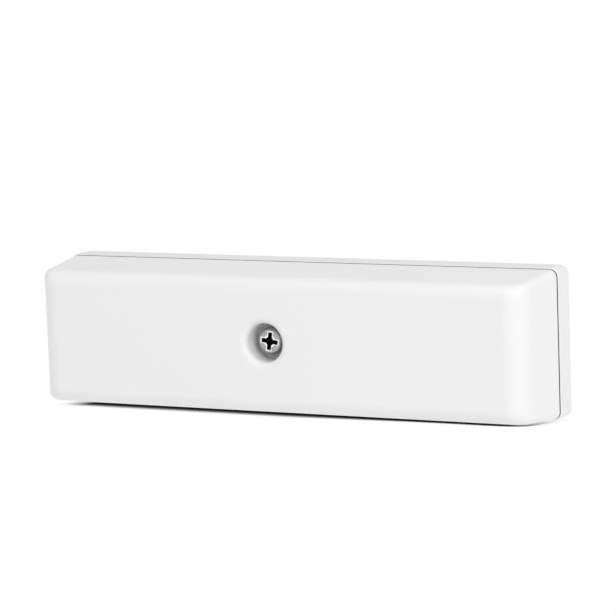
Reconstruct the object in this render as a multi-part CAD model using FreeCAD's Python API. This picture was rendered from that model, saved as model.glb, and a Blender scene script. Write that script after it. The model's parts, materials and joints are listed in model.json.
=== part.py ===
import FreeCAD, Part
import math
import os

# Vibration sensor for the front rail of an awning: a flat back plate that is
# screwed to the rail, a drafted front cover on one central screw, and behind it
# two AAA cells and a radio board with a motion sensor.
# Millimetres. +X to the right seen from the front, -Y to the front, +Z up.
# The origin is in the middle of the bottom of the whole sensor's bounding box.

Vector = FreeCAD.Vector
Rotation = FreeCAD.Rotation
Placement = FreeCAD.Placement
X_AXIS = Vector(1, 0, 0)
Y_AXIS = Vector(0, 1, 0)
Z_AXIS = Vector(0, 0, 1)

# How far a cutting shape reaches past what it cuts
overcut = 1.0

# Housing
cover_depth = 19.6
plate_depth = 6.9
seam_gap = 0.5
plate_lip = 0.35
side_draft = 5.2
end_draft = 4.3
cover_corner_radius = 2.0
front_side_radius = 3.6
front_end_radius = 5.5
cover_wall = 2.4
plate_corner_radius = 2.2
plate_back_bevel = 0.4
plate_front_bevel = 0.25
plate_floor = 2.4
least_corner = 0.8

# Lap joint and seal round the seam
rim_wall = 1.6
groove_width = 1.6
groove_depth = 3.4
inner_rib = 1.0
inner_rib_setback = 0.5
tongue_clearance = 0.25
tongue_root = 2.5
seal_height = 1.2
seal_side_gap = 0.1
seal_squeeze_gap = 0.1

# Room round the pieces inside
tray_end_gap = 2.5
tray_side_gap = 2.2
tray_board_gap = 0.5
mount_bay = 13.5

# Mounting slots in the back plate
mount_slot_width = 4.5
mount_slot_length = 7.5
mount_edge = 7.8
relief_depth = 0.6
relief_border = 5.0
relief_mount_land = 6.0
relief_corner = 2.0

# Cover screw, its washer and its recess
screw_raise = 0.65
screw_head_diameter = 7.0
screw_head_height = 2.6
screw_head_bevel = 0.5
screw_shank_diameter = 3.9
screw_length = 12.0
cross_width = 4.4
cross_arm = 1.15
cross_floor_width = 1.9
cross_floor_arm = 0.8
cross_depth = 2.1
cross_turn = 8.0
washer_diameter = 8.8
washer_thickness = 1.0
washer_bore_gap = 0.15
head_depth = 3.8
recess_diameter = 10.0
recess_lip_radius = 1.8
recess_wall = 1.8
recess_floor = 2.4
recess_rib = 1.4
recess_rib_reach = 5.0
shank_hole_gap = 0.3

# Screw boss and brass insert
boss_diameter = 9.6
boss_gap = 0.2
boss_root = 0.8
boss_blind_depth = 2.5
gusset_wall = 1.2
gusset_reach = 3.0
gusset_board_gap = 0.5
insert_diameter = 5.6
insert_length = 8.0
insert_fit = 0.02
thread_fit = 0.05

# Circuit board
board_right_edge = 5.8
board_thickness = 1.6
board_side_gap = 1.2
board_margin = 1.7
board_corner_radius = 1.5
boss_hole_gap = 0.5
post_height = 3.6
post_diameter = 5.0
post_inset = 3.2
post_bore = 1.8
post_blind_floor = 1.0
board_screw_head_diameter = 4.0
board_screw_head_height = 1.5
board_screw_shank = 1.75
board_screw_length = 6.0
board_screw_hole_gap = 0.25
board_screw_slot = 0.7

# AAA cells
cell_diameter = 10.5
cell_length = 44.5
nub_diameter = 3.8
nub_length = 1.0
cell_clearance = 0.25
cell_end_gap = 0.1

# Battery tray
cell_web = 1.0
tray_wall = 1.3
tray_end_wall = 1.6
tray_end_corner = 1.0
cradle_floor = 1.2
tray_standoff = 2.9
tray_side_rise = 2.0
tray_end_rise = 4.2
tray_web_foot = 3.8
tray_driver_hole = 9.5
tray_peg_diameter = 2.4
tray_peg_length = 2.4
tray_peg_fit = 0.03
tray_peg_tip_gap = 0.3
tray_peg_inset = 14.0
grip_width = 18.0
grip_depth = 3.4
grip_radius = 2.0

# Battery contacts
contact_sheet = 0.4
contact_width = 8.0
contact_rise = 3.2
contact_drop = 3.6
lug_width = 3.0
lug_reach = 3.2
lug_slot_gap = 0.15
contact_pocket_gap = 0.1
leaf_bow = 4.4
leaf_width = 4.5
leaf_foot_gap = 0.8

# Learn switch
switch_along = 19.2
switch_up = 8.3
switch_width = 6.2
switch_height = 3.5
switch_leg_width = 0.7
switch_leg_reach = 0.6
switch_leg_sheet = 0.3
switch_leg_offset = 2.25
button_diameter = 3.4
button_stand = 1.6
button_fit = 0.05
button_travel = 0.5
button_floor_gap = 0.2
button_sunk = 1.0
button_bevel = 0.3

# Sensitivity control
dial_along = 20.7
dial_up = -5.7
dial_body_width = 9.5
dial_body_height = 4.6
dial_diameter = 6.8
dial_sunk = 1.6
dial_stand = 0.7
dial_fit = 0.05
dial_floor_gap = 0.05
dial_slot_width = 1.1
dial_slot_depth = 0.9
dial_bevel = 0.3
dial_arrow = 2.0
dial_arrow_half = 1.5
dial_arrow_border = 0.7

# Status light
light_along = 26.7
light_up = 8.3
light_width = 3.5
light_height = 1.9
light_well_diameter = 2.4
light_well_depth = 0.6

# Motion sensor chip
motion_along = 28.7
motion_up = 2.1
motion_width = 3.0
motion_height = 1.0
motion_pad_height = 0.1
motion_pad_length = 0.5
motion_pad_width = 0.4
motion_pad_across = 1.2
motion_pad_pitch = 0.9

# Microcontroller
chip_along = 33.2
chip_up = -6.2
chip_length = 8.7
chip_width = 3.9
chip_height = 1.5
chip_stand = 0.2
chip_leads_per_side = 7
chip_lead_pitch = 1.27
chip_lead_width = 0.42
chip_lead_sheet = 0.25
chip_lead_root = 0.2
chip_lead_knee = 0.47
chip_span = 6.0
chip_edge = 0.3

# Clock crystal
crystal_along = 20.2
crystal_up = 2.1
crystal_length = 8.0
crystal_width = 3.8
crystal_height = 2.4
crystal_edge = 0.4

# Reservoir capacitor
capacitor_along = 35.2
capacitor_up = 7.8
capacitor_base = 8.3
capacitor_base_height = 1.2
capacitor_diameter = 8.0
capacitor_height = 10.0
capacitor_chamfer = 2.0
capacitor_vent = 0.25
capacitor_vent_width = 0.4

# Radio module and its antenna
radio_gap = 0.85
radio_up = -4.7
radio_length = 16.0
radio_width = 17.0
radio_thickness = 0.8
radio_castellations = 8
castellation_pitch = 1.8
castellation_width = 0.9
shield_inset = 1.1
shield_height = 2.2
shield_bevel = 0.4
shield_corner_radius = 1.0
antenna_inset = 1.5
antenna_up = 8.8
antenna_diameter = 4.8
antenna_wire = 0.8
antenna_wire_sides = 6
antenna_half_turns = 7
antenna_pitch = 3.4
antenna_board_gap = 0.3

# Small chip parts
small_length = 2.0
small_width = 1.25
resistor_height = 0.5
capacitor_chip_height = 0.9
resistor_count = 5
resistor_along = 13.0
resistor_step = 2.6
resistor_up = -12.0
capacitor_chip_count = 3
capacitor_chip_inset = 2.3
capacitor_chip_step = 3.6
capacitor_chip_up = 4.95

# Battery bay, from the cell and its contacts
trough_radius = cell_diameter / 2 + cell_clearance
cell_pitch = 2 * trough_radius + cell_web
bay_length = cell_length + 2 * contact_sheet + leaf_bow + 2 * cell_end_gap
tray_length = bay_length + 2 * tray_end_wall
tray_height = cell_pitch + 2 * trough_radius + 2 * tray_wall

# Radio's column and the board's length, from what stands left of them
radio_left = capacitor_along + capacitor_base / 2 + radio_gap
radio_along = radio_left + radio_length / 2
antenna_along = radio_left + antenna_inset
capacitor_chip_along = radio_left + capacitor_chip_inset
board_length = radio_left + radio_length + board_right_edge

# Outline of the housing, from what it holds
rim_band = rim_wall + groove_width + inner_rib
inner_length = tray_end_gap + tray_length + tray_board_gap + board_length + mount_bay
inner_height = tray_height + 2 * tray_side_gap
plate_length = inner_length + 2 * rim_band
plate_height = inner_height + 2 * rim_band
cover_length = plate_length - 2 * plate_lip
cover_height = plate_height - 2 * plate_lip
middle_z = plate_height / 2

# Depths, from the back to the front
total_depth = plate_depth + seam_gap + cover_depth
back_y = total_depth / 2
plate_front_y = back_y - plate_depth
cover_rim_y = plate_front_y - seam_gap
front_y = cover_rim_y - cover_depth
floor_y = back_y - plate_floor
groove_y = plate_front_y + groove_depth
tongue_y = groove_y - seal_height - seal_squeeze_gap
board_rear_y = floor_y - post_height
board_front_y = board_rear_y - board_thickness
cell_y = floor_y - tray_standoff - cradle_floor - trough_radius
head_front_y = front_y + head_depth
head_seat_y = head_front_y + screw_head_height
recess_floor_y = head_seat_y + washer_thickness
recess_end_y = recess_floor_y + recess_floor
boss_front_y = recess_end_y + boss_gap
insert_end_y = boss_front_y + insert_length
screw_tip_y = head_seat_y + screw_length

# Places along the housing, from the left
inner_left = -inner_length / 2
tray_left = inner_left + tray_end_gap
tray_right = tray_left + tray_length
board_left = tray_right + tray_board_gap
board_right = board_left + board_length
boss_hole_radius = boss_diameter / 2 + boss_hole_gap
screw_x = board_left + board_margin + boss_hole_radius
screw_z = middle_z + screw_raise
mount_x = inner_length / 2 - mount_edge
board_bottom = middle_z - inner_height / 2 + board_side_gap
board_top = middle_z + inner_height / 2 - board_side_gap
upper_cell_z = middle_z + cell_pitch / 2
lower_cell_z = middle_z - cell_pitch / 2
bay_left = tray_left + tray_end_wall
bay_right = tray_right - tray_end_wall


def block(x0, x1, y0, y1, z0, z1):
    """Box between two corners."""
    return Part.makeBox(x1 - x0, y1 - y0, z1 - z0, Vector(x0, y0, z0))


def rod(x, z, y0, y1, radius):
    """Cylinder along Y."""
    return Part.makeCylinder(radius, y1 - y0, Vector(x, y0, z), Y_AXIS)


def bar(x0, x1, y, z, radius):
    """Cylinder along X."""
    return Part.makeCylinder(radius, x1 - x0, Vector(x0, y, z), X_AXIS)


def turned(points, x, z):
    """Solid of revolution about a Y axis through x, z, from (radius, y) points."""
    corners = [Vector(x + radius, y, z) for radius, y in points]
    face = Part.Face(Part.makePolygon(corners + [corners[0]]))
    return face.revolve(Vector(x, 0, z), Y_AXIS, 360)


def rounded_outline(length, height, radius, x, y, z):
    """Rounded rectangle in a plane across Y, as a face."""
    a = length / 2
    b = height / 2
    c = radius * math.sqrt(0.5)
    edges = []
    for turn in range(4):
        half, across = (a, b) if turn % 2 == 0 else (b, a)
        place = Placement(Vector(x, y, z), Rotation(Y_AXIS, -90 * turn))
        start = Vector(-half + radius, 0, -across)
        end = Vector(half - radius, 0, -across)
        centre = Vector(half - radius, 0, -across + radius)
        middle = centre + Vector(c, 0, -c)
        finish = centre + Vector(radius, 0, 0)
        line = Part.LineSegment(place.multVec(start), place.multVec(end))
        arc = Part.Arc(place.multVec(end), place.multVec(middle), place.multVec(finish))
        edges += [line.toShape(), arc.toShape()]
    return Part.Face(Part.Wire(edges))


def rounded_block(length, height, radius, y0, y1, x=0.0, z=None):
    """Prism along Y with a rounded rectangular outline."""
    z = middle_z if z is None else z
    face = rounded_outline(length, height, radius, x, y0, z)
    return face.extrude(Vector(0, y1 - y0, 0))


def plate_block(inset, y0, y1):
    """Prism with the back plate's outline drawn in by an inset."""
    radius = max(plate_corner_radius - inset, least_corner)
    return rounded_block(plate_length - 2 * inset, plate_height - 2 * inset, radius, y0, y1)


def plate_ring(outer_inset, inner_inset, y0, y1):
    """Frame between two insets of the back plate's outline."""
    return plate_block(outer_inset, y0, y1).cut(plate_block(inner_inset, y0, y1))


def same(a, b):
    """Whether two lengths are the same, but for rounding."""
    return abs(a - b) < 0.001


def edges_at(shape, y):
    """Edges that lie wholly in one plane across Y."""
    return [edge for edge in shape.Edges
            if same(edge.BoundBox.YMin, y) and same(edge.BoundBox.YMax, y)]


def one_solid(shape, name):
    """The single solid of a shape, with faces that lie in one surface joined."""
    solids = shape.removeSplitter().Solids
    if len(solids) != 1:
        print("check", name, "has", len(solids), "solids")
    return solids[0]


def drafted_block(inset, front, front_rounds):
    """Block that narrows to the front, with rounded corners and any front rounds.

    The inset draws every wall in, square to the seam, for the inner surface.
    """
    depth = cover_rim_y - front
    half_length = cover_length / 2 - inset
    half_height = cover_height / 2 - inset
    far_length = half_length - depth * math.tan(math.radians(end_draft))
    far_height = half_height - depth * math.tan(math.radians(side_draft))
    wedge = Part.makeWedge(-half_length, 0, -half_height, -far_height, -far_length,
                           half_length, depth, half_height, far_height, far_length)
    wedge.Placement = Placement(Vector(0, cover_rim_y, middle_z), Rotation(X_AXIS, 180))
    rounds = []
    for number, edge in enumerate(wedge.Edges, 1):
        box = edge.BoundBox
        if box.YLength > depth / 2:
            radius = max(cover_corner_radius - inset, least_corner)
        elif not same(box.YMin, front) or not front_rounds:
            continue
        elif box.XLength > box.ZLength:
            radius = front_side_radius
        else:
            radius = front_end_radius
        rounds.append((number, radius, radius))
    return round_edges(wedge, rounds)


def round_edges(shape, rounds):
    """Fillet with a radius for each edge, given as (edge number, radius, radius)."""
    document = FreeCAD.newDocument("rounds")
    base = document.addObject("Part::Feature", "base")
    base.Shape = shape
    fillet = document.addObject("Part::Fillet", "fillet")
    fillet.Base = base
    fillet.Edges = rounds
    document.recompute()
    result = fillet.Shape.copy()
    FreeCAD.closeDocument(document.Name)
    return result.Solids[0]


def front_cover():
    """Drafted shell with a sunk screw recess and a tongue round its open side."""
    outer = drafted_block(0.0, front_y, True)
    inner = drafted_block(cover_wall, front_y + cover_wall, False)
    shell = outer.cut(inner)
    tongue = plate_ring(rim_wall + tongue_clearance, rim_wall + groove_width - tongue_clearance,
                        cover_rim_y - tongue_root, tongue_y)
    tube_radius = recess_diameter / 2 + recess_wall
    solid_tube = rod(screw_x, screw_z, front_y + cover_wall / 2, recess_end_y, tube_radius)
    shell = shell.fuse([tongue, solid_tube] + recess_ribs(tube_radius))
    recess = rod(screw_x, screw_z, front_y - overcut, recess_floor_y, recess_diameter / 2)
    shank_hole = rod(screw_x, screw_z, front_y, recess_end_y + overcut,
                     screw_shank_diameter / 2 + shank_hole_gap)
    shell = shell.cut(recess).cut(shank_hole)
    mouth = [edge for edge in edges_at(shell, front_y)
             if same(edge.BoundBox.XLength, recess_diameter)]
    return one_solid(shell.makeFillet(recess_lip_radius, mouth), "front_cover")


def recess_ribs(tube_radius):
    """Four ribs that stiffen the recess tube against the front wall."""
    ribs = []
    front = front_y + cover_wall / 2
    rear = recess_end_y - recess_floor
    for turn in range(4):
        corners = [Vector(0, front, 0), Vector(tube_radius + recess_rib_reach, front, 0),
                   Vector(tube_radius, rear, 0), Vector(0, rear, 0)]
        face = Part.Face(Part.makePolygon(corners + [corners[0]]))
        rib = face.extrude(Vector(0, 0, recess_rib))
        rib.translate(Vector(0, 0, -recess_rib / 2))
        rib.Placement = Placement(Vector(screw_x, 0, screw_z),
                                  Rotation(Y_AXIS, 90 * turn)).multiply(rib.Placement)
        ribs.append(rib)
    return ribs


def back_plate():
    """Tray-shaped plate with a sealing groove, a screw boss, posts and two slots."""
    body = plate_block(0.0, plate_front_y, back_y)
    body = body.makeChamfer(plate_back_bevel, edges_at(body, back_y))
    body = body.makeChamfer(plate_front_bevel, edges_at(body, plate_front_y))
    above = plate_front_y - overcut
    body = body.cut(plate_ring(rim_wall, rim_wall + groove_width, above, groove_y))
    body = body.cut(plate_block(rim_band, above, floor_y))
    body = body.cut(plate_block(rim_wall + groove_width, above,
                                plate_front_y + inner_rib_setback))
    body = body.fuse([screw_boss()] + board_posts() + tray_pegs())
    bores = [boss_bore(), back_relief()] + post_bores() + mount_slots()
    return one_solid(body.cut(Part.makeCompound(bores)), "back_plate")


def screw_boss():
    """Boss with a bevelled root and four gussets."""
    radius = boss_diameter / 2
    boss = turned([(0, boss_front_y), (radius, boss_front_y), (radius, floor_y - boss_root),
                   (radius + boss_root, floor_y), (0, floor_y)], screw_x, screw_z)
    gussets = []
    top = board_rear_y + gusset_board_gap
    for turn in range(4):
        corners = [Vector(0, floor_y, 0), Vector(radius + gusset_reach, floor_y, 0),
                   Vector(radius + boss_root, top, 0), Vector(0, top, 0)]
        face = Part.Face(Part.makePolygon(corners + [corners[0]]))
        gusset = face.extrude(Vector(0, 0, gusset_wall))
        gusset.translate(Vector(0, 0, -gusset_wall / 2))
        gusset.Placement = Placement(Vector(screw_x, 0, screw_z),
                                     Rotation(Y_AXIS, 45 + 90 * turn)).multiply(gusset.Placement)
        gussets.append(gusset)
    return boss.fuse(gussets)


def boss_bore():
    """Blind bore for the brass insert, with room for the screw's tip."""
    seat = rod(screw_x, screw_z, boss_front_y - overcut, insert_end_y,
               insert_diameter / 2 + insert_fit)
    tip = rod(screw_x, screw_z, boss_front_y, insert_end_y + boss_blind_depth,
              screw_shank_diameter / 2 + shank_hole_gap)
    return seat.fuse(tip)


def post_places():
    """Centres of the four board posts."""
    return [(x, z) for x in (board_left + post_inset, board_right - post_inset)
            for z in (board_bottom + post_inset, board_top - post_inset)]


def screw_places():
    """Posts that take a screw, at two opposite corners of the board."""
    return post_places()[::3]


def board_posts():
    """Posts that carry the circuit board."""
    return [rod(x, z, board_rear_y, floor_y, post_diameter / 2) for x, z in post_places()]


def post_bores():
    """Pilot bores for the board screws."""
    deep = back_y - post_blind_floor
    return [rod(x, z, board_rear_y - overcut, deep, post_bore / 2) for x, z in screw_places()]


def peg_places():
    """Centres of the pegs under the battery tray."""
    return [(x, middle_z) for x in (tray_left + tray_peg_inset, tray_right - tray_peg_inset)]


def tray_pegs():
    """Pegs that locate the battery tray."""
    return [rod(x, z, floor_y - tray_peg_length, floor_y, tray_peg_diameter / 2)
            for x, z in peg_places()]


def mount_places():
    """Centres of the two mounting slots."""
    return [(-mount_x, middle_z), (mount_x, middle_z)]


def slot(x, z, width, length, y0, y1):
    """Round-ended slot along X through a stretch of Y."""
    reach = (length - width) / 2
    middle = block(x - reach, x + reach, y0, y1, z - width / 2, z + width / 2)
    return middle.fuse([rod(x + side * reach, z, y0, y1, width / 2) for side in (-1, 1)])


def mount_slots():
    """Two slots for the screws that hold the plate to the rail."""
    return [slot(x, z, mount_slot_width, mount_slot_length, floor_y - overcut, back_y + overcut)
            for x, z in mount_places()]


def back_relief():
    """Shallow pocket in the back between the two mounting lands."""
    length = 2 * (mount_x - mount_slot_length / 2 - relief_mount_land)
    height = plate_height - 2 * relief_border
    return rounded_block(length, height, relief_corner, back_y - relief_depth,
                         back_y + overcut)


def lid_seal():
    """Soft ring at the bottom of the plate's groove, under the cover's tongue."""
    return plate_ring(rim_wall + seal_side_gap, rim_wall + groove_width - seal_side_gap,
                      groove_y - seal_height, groove_y)


def threaded_insert():
    """Brass sleeve sunk in the boss, with the screw's thread in its bore."""
    bore = screw_shank_diameter / 2 + thread_fit
    sleeve = rod(screw_x, screw_z, boss_front_y, insert_end_y, insert_diameter / 2)
    return sleeve.cut(rod(screw_x, screw_z, boss_front_y, insert_end_y, bore))


def cover_screw():
    """Cheese head machine screw with a bevelled rim and a cross recess."""
    head = screw_head_diameter / 2
    shank = screw_shank_diameter / 2
    bevel = screw_head_bevel
    screw = turned([(0, head_front_y), (head - bevel, head_front_y), (head, head_front_y + bevel),
                    (head, head_seat_y), (shank, head_seat_y), (shank, screw_tip_y),
                    (0, screw_tip_y)], screw_x, screw_z)
    return one_solid(screw.cut(cross_recess()), "cover_screw")


def cross_recess():
    """Cross with arms that narrow towards its floor."""
    arms = []
    for turn in (0, 90):
        arm = Part.makeWedge(-cross_width / 2, 0, -cross_arm / 2, -cross_floor_arm / 2,
                             -cross_floor_width / 2, cross_width / 2, cross_depth, cross_arm / 2,
                             cross_floor_arm / 2, cross_floor_width / 2)
        arm.Placement = Placement(Vector(screw_x, head_front_y, screw_z),
                                  Rotation(Y_AXIS, turn + cross_turn))
        arms.append(arm)
    return arms[0].fuse(arms[1])


def sealing_washer():
    """Soft washer under the screw's head."""
    bore = screw_shank_diameter / 2 + washer_bore_gap
    ring = rod(screw_x, screw_z, head_seat_y, recess_floor_y, washer_diameter / 2)
    return ring.cut(rod(screw_x, screw_z, head_seat_y, recess_floor_y, bore))


def circuit_board():
    """Board with a clearance hole for the boss and a hole for each screw."""
    length = board_right - board_left
    height = board_top - board_bottom
    middle_x = (board_left + board_right) / 2
    board = rounded_block(length, height, board_corner_radius, board_front_y, board_rear_y,
                          middle_x)
    hole = board_screw_shank / 2 + board_screw_hole_gap
    holes = [rod(x, z, board_front_y, board_rear_y, hole) for x, z in screw_places()]
    holes.append(rod(screw_x, screw_z, board_front_y, board_rear_y, boss_hole_radius))
    return one_solid(board.cut(Part.makeCompound(holes)), "circuit_board")


def board_screw(x, z):
    """Small cheese head screw with a straight slot."""
    head = board_screw_head_diameter / 2
    shank = board_screw_shank / 2
    top = board_front_y - board_screw_head_height
    tip = board_front_y + board_screw_length
    screw = turned([(0, top), (head, top), (head, board_front_y), (shank, board_front_y),
                    (shank, tip), (0, tip)], x, z)
    groove = block(x - board_screw_slot / 2, x + board_screw_slot / 2, top - overcut,
                   top + board_screw_head_height / 2, z - head, z + head)
    return screw.cut(groove)


def board_screws():
    """The two screws of the circuit board."""
    return Part.makeCompound([board_screw(x, z) for x, z in screw_places()])


def cell(z, direction, start_x):
    """AAA cell along X: a can and the nub at one end."""
    can_length = cell_length - nub_length
    can = bar(0, can_length, 0, 0, cell_diameter / 2)
    can = can.fuse(bar(can_length, cell_length, 0, 0, nub_diameter / 2)).Solids[0]
    turn = 0 if direction > 0 else 180
    can.Placement = Placement(Vector(start_x, cell_y, z), Rotation(Z_AXIS, turn))
    return can


def upper_battery():
    """Cell whose nub points right, at the positive contact."""
    return cell(upper_cell_z, 1, bay_right - contact_sheet - cell_end_gap - cell_length)


def lower_battery():
    """Cell whose nub points left, at the series contact."""
    return cell(lower_cell_z, -1, bay_left + contact_sheet + cell_end_gap + cell_length)


def battery_tray():
    """Tray with two round-bottomed troughs, contact walls and grip cut-outs."""
    bottom = middle_z - tray_height / 2
    top = middle_z + tray_height / 2
    side_top = cell_y - tray_side_rise
    end_top = cell_y - tray_end_rise
    tray = block(tray_left, tray_right, side_top, floor_y, bottom, top)
    ends = block(tray_left, tray_right, end_top, side_top, bottom, top)
    ends = ends.makeFillet(tray_end_corner, [edge for edge in ends.Edges
                                            if same(edge.BoundBox.YMax, end_top)
                                            and same(edge.BoundBox.XLength, 0)])
    ends = ends.cut(block(bay_left, bay_right, end_top - overcut, side_top, bottom, top))
    tray = tray.fuse(ends)
    cuts = [tray_hollow(bottom, top), contact_pocket()]
    for z in (lower_cell_z, upper_cell_z):
        cuts.append(bar(bay_left, bay_right, cell_y, z, trough_radius))
        cuts.append(block(bay_left, bay_right, end_top - overcut, cell_y,
                          z - trough_radius, z + trough_radius))
    cuts += grip_cuts(side_top) + lug_slots()
    cuts.append(rod(-mount_x, middle_z, side_top - overcut, floor_y + overcut,
                    tray_driver_hole / 2))
    for x, z in peg_places():
        cuts.append(rod(x, z, floor_y - tray_peg_length - tray_peg_tip_gap, floor_y,
                        tray_peg_diameter / 2 + tray_peg_fit))
    for piece in cuts:
        tray = tray.cut(piece)
    return one_solid(tray, "battery_tray")


def contact_pocket():
    """Room for the series contact where it crosses from one trough to the other."""
    return block(bay_left, bay_left + contact_sheet + contact_pocket_gap,
                 cell_y - contact_rise, cell_y + contact_drop + contact_pocket_gap,
                 lower_cell_z, upper_cell_z)


def tray_hollow(bottom, top):
    """Open space under the troughs, between the side walls and the middle foot."""
    hollow = block(bay_left, bay_right, cell_y, floor_y, bottom + tray_wall, top - tray_wall)
    for z in (lower_cell_z, upper_cell_z):
        hollow = hollow.cut(bar(bay_left, bay_right, cell_y, z, trough_radius + cradle_floor))
    foot = block(bay_left, bay_right, cell_y, floor_y,
                 middle_z - tray_web_foot / 2, middle_z + tray_web_foot / 2)
    hollow = hollow.cut(foot)
    under = block(bay_left, bay_right, cell_y + trough_radius + cradle_floor, floor_y,
                  bottom + tray_wall, top - tray_wall).cut(foot)
    return hollow.fuse(under)


def grip_cuts(side_top):
    """Rounded cut-outs in the outer walls, where a finger lifts a cell."""
    middle = (bay_left + bay_right) / 2
    above = side_top - grip_radius - overcut
    below = side_top + grip_depth
    cut = block(middle - grip_width / 2, middle + grip_width / 2, above, below,
                middle_z - tray_height, middle_z + tray_height)
    lower = [edge for edge in cut.Edges if same(edge.BoundBox.YMin, below)
             and same(edge.BoundBox.XLength, 0)]
    cut = cut.makeFillet(grip_radius, lower)
    inner = block(middle - grip_width, middle + grip_width, above - overcut, below + overcut,
                  lower_cell_z, upper_cell_z)
    return [cut.cut(inner)]


def lug_slots():
    """Slots in the right end wall that let the contact lugs out to the board."""
    half = lug_width / 2 + lug_slot_gap
    return [block(bay_right - overcut, tray_right + overcut,
                  board_front_y - contact_sheet - lug_slot_gap,
                  board_front_y + lug_slot_gap, z - half, z + half)
            for z in (lower_cell_z, upper_cell_z)]


def contact_plate(x, z, height):
    """Upright sheet against an end wall of the battery bay."""
    return block(x, x + contact_sheet, cell_y - contact_rise, cell_y + contact_drop,
                 z - height / 2, z + height / 2)


def bowed_leaf(x, z, direction):
    """Sprung tongue that bows out from the sheet's top edge to the cell and back."""
    half = contact_sheet / 2
    high = Vector(half, cell_y - contact_rise, 0)
    peak = Vector(contact_sheet + leaf_bow - half, cell_y, 0)
    foot = Vector(contact_sheet + leaf_foot_gap + half, cell_y + contact_drop - half, 0)
    middle = Part.Arc(high, peak, foot).toShape().Curve
    centre = middle.Center
    edges = []
    ends = []
    for offset in (-half, half):
        grown = (middle.Radius + offset) / middle.Radius
        stops = [centre + (point - centre) * grown for point in (high, peak, foot)]
        edges.append(Part.Arc(*stops).toShape())
        ends.append((stops[0], stops[2]))
    for inner, outer in zip(*ends):
        edges.append(Part.LineSegment(inner, outer).toShape())
    face = Part.Face(Part.Wire(Part.sortEdges(edges)[0]))
    leaf = face.extrude(Vector(0, 0, leaf_width))
    leaf.translate(Vector(0, 0, -leaf_width / 2))
    if direction < 0:
        leaf = leaf.mirror(Vector(0, 0, 0), X_AXIS)
    leaf.translate(Vector(x, 0, z))
    return leaf


def end_contact(z, sprung):
    """Sheet at the right end with a bent lug that lies on the circuit board."""
    x = bay_right - contact_sheet
    parts = [block(x, bay_right, cell_y, board_front_y, z - lug_width / 2, z + lug_width / 2),
             block(x, board_left + lug_reach, board_front_y - contact_sheet, board_front_y,
                   z - lug_width / 2, z + lug_width / 2)]
    if sprung:
        parts.append(bowed_leaf(bay_right, z, -1))
    return one_solid(contact_plate(x, z, contact_width).fuse(parts), "end_contact")


def series_contact():
    """Sheet at the left end that joins both cells, with a leaf for the upper one."""
    plate = contact_plate(bay_left, middle_z, cell_pitch + contact_width)
    return one_solid(plate.fuse(bowed_leaf(bay_left, upper_cell_z, 1)), "series_contact")


def arc_between(start, tangent, end):
    """Circular arc that leaves a point along a tangent and meets a second point."""
    chord = end - start
    along = Vector(chord).normalize()
    bulge = tangent - along * tangent.dot(along)
    half_turn = math.atan2(bulge.Length, tangent.dot(along))
    rise = chord.Length / 2 * math.tan(half_turn / 2)
    middle = (start + end) * 0.5 + bulge.normalize() * rise
    return Part.Arc(start, middle, end).toShape()


def biarc(start, start_tangent, end, end_tangent):
    """Two arcs with one tangent where they join, between two points with tangents."""
    chord = end - start
    both = start_tangent + end_tangent
    a = 2 * (1 - start_tangent.dot(end_tangent))
    b = 2 * chord.dot(both)
    reach = (-b + math.sqrt(b * b + 4 * a * chord.dot(chord))) / (2 * a)
    join = (start + start_tangent * reach + end - end_tangent * reach) * 0.5
    return [arc_between(start, start_tangent, join),
            arc_between(end, end_tangent * -1, join)]


def wire_tube(edges, start, tangent, diameter):
    """Six-sided wire along a path, with its least gap to itself printed."""
    path = Part.Wire(Part.sortEdges(edges)[0])
    turn = Rotation(Y_AXIS, tangent)
    corners = []
    for i in range(antenna_wire_sides):
        angle = 2 * math.pi * i / antenna_wire_sides
        spoke = Vector(math.cos(angle), 0, math.sin(angle)) * (diameter / 2)
        corners.append(start + turn.multVec(spoke))
    profile = Part.makePolygon(corners + [corners[0]])
    tube = path.makePipeShell([profile], True, False)
    points = path.discretize(Distance=diameter / 3)
    nearby = 8
    gap = min((p - q).Length for i, p in enumerate(points) for q in points[i + nearby:])
    sides = antenna_wire_sides
    section = sides * diameter ** 2 / 8 * math.sin(2 * math.pi / sides)
    print("coil's least gap to itself", round(gap - diameter, 3),
          "volume over section times length", round(tube.Volume / (section * path.Length), 4))
    return tube.Solids[0]


def helix_point(angle, radius, pitch):
    """Place and tangent on a helix about X that starts at angle 0."""
    rise = pitch / (2 * math.pi)
    point = Vector(rise * angle, -radius * math.sin(angle), radius * math.cos(angle))
    tangent = Vector(rise, -radius * math.cos(angle), -radius * math.sin(angle))
    return point, tangent.normalize()


def antenna_coil():
    """Helical antenna that lies along the board on two straight legs."""
    radius = antenna_diameter / 2
    stops = [helix_point(math.pi * i, radius, antenna_pitch)
             for i in range(antenna_half_turns + 1)]
    forward = Vector(0, -1, 0)
    stops[0] = (stops[0][0], forward)
    stops[-1] = (stops[-1][0], forward * -1)
    axis_y = board_front_y - antenna_board_gap - antenna_wire / 2 - radius
    leg = Vector(0, board_front_y - axis_y, 0)
    first = stops[0][0]
    last = stops[-1][0]
    edges = [Part.LineSegment(first + leg, first).toShape()]
    for (start, start_tangent), (end, end_tangent) in zip(stops, stops[1:]):
        edges += biarc(start, start_tangent, end, end_tangent)
    edges.append(Part.LineSegment(last, last + leg).toShape())
    tube = wire_tube(edges, first + leg, forward, antenna_wire)
    tube.translate(Vector(board_left + antenna_along, axis_y, middle_z + antenna_up))
    return tube


def on_board(along, up):
    """Place on the board's front, from its left edge and its middle height."""
    return board_left + along, middle_z + up


def square_case(x, z, length, height, near_y, far_y):
    """Case centred on a place of the board, between two depths."""
    return block(x - length / 2, x + length / 2, near_y, far_y, z - height / 2, z + height / 2)


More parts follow.
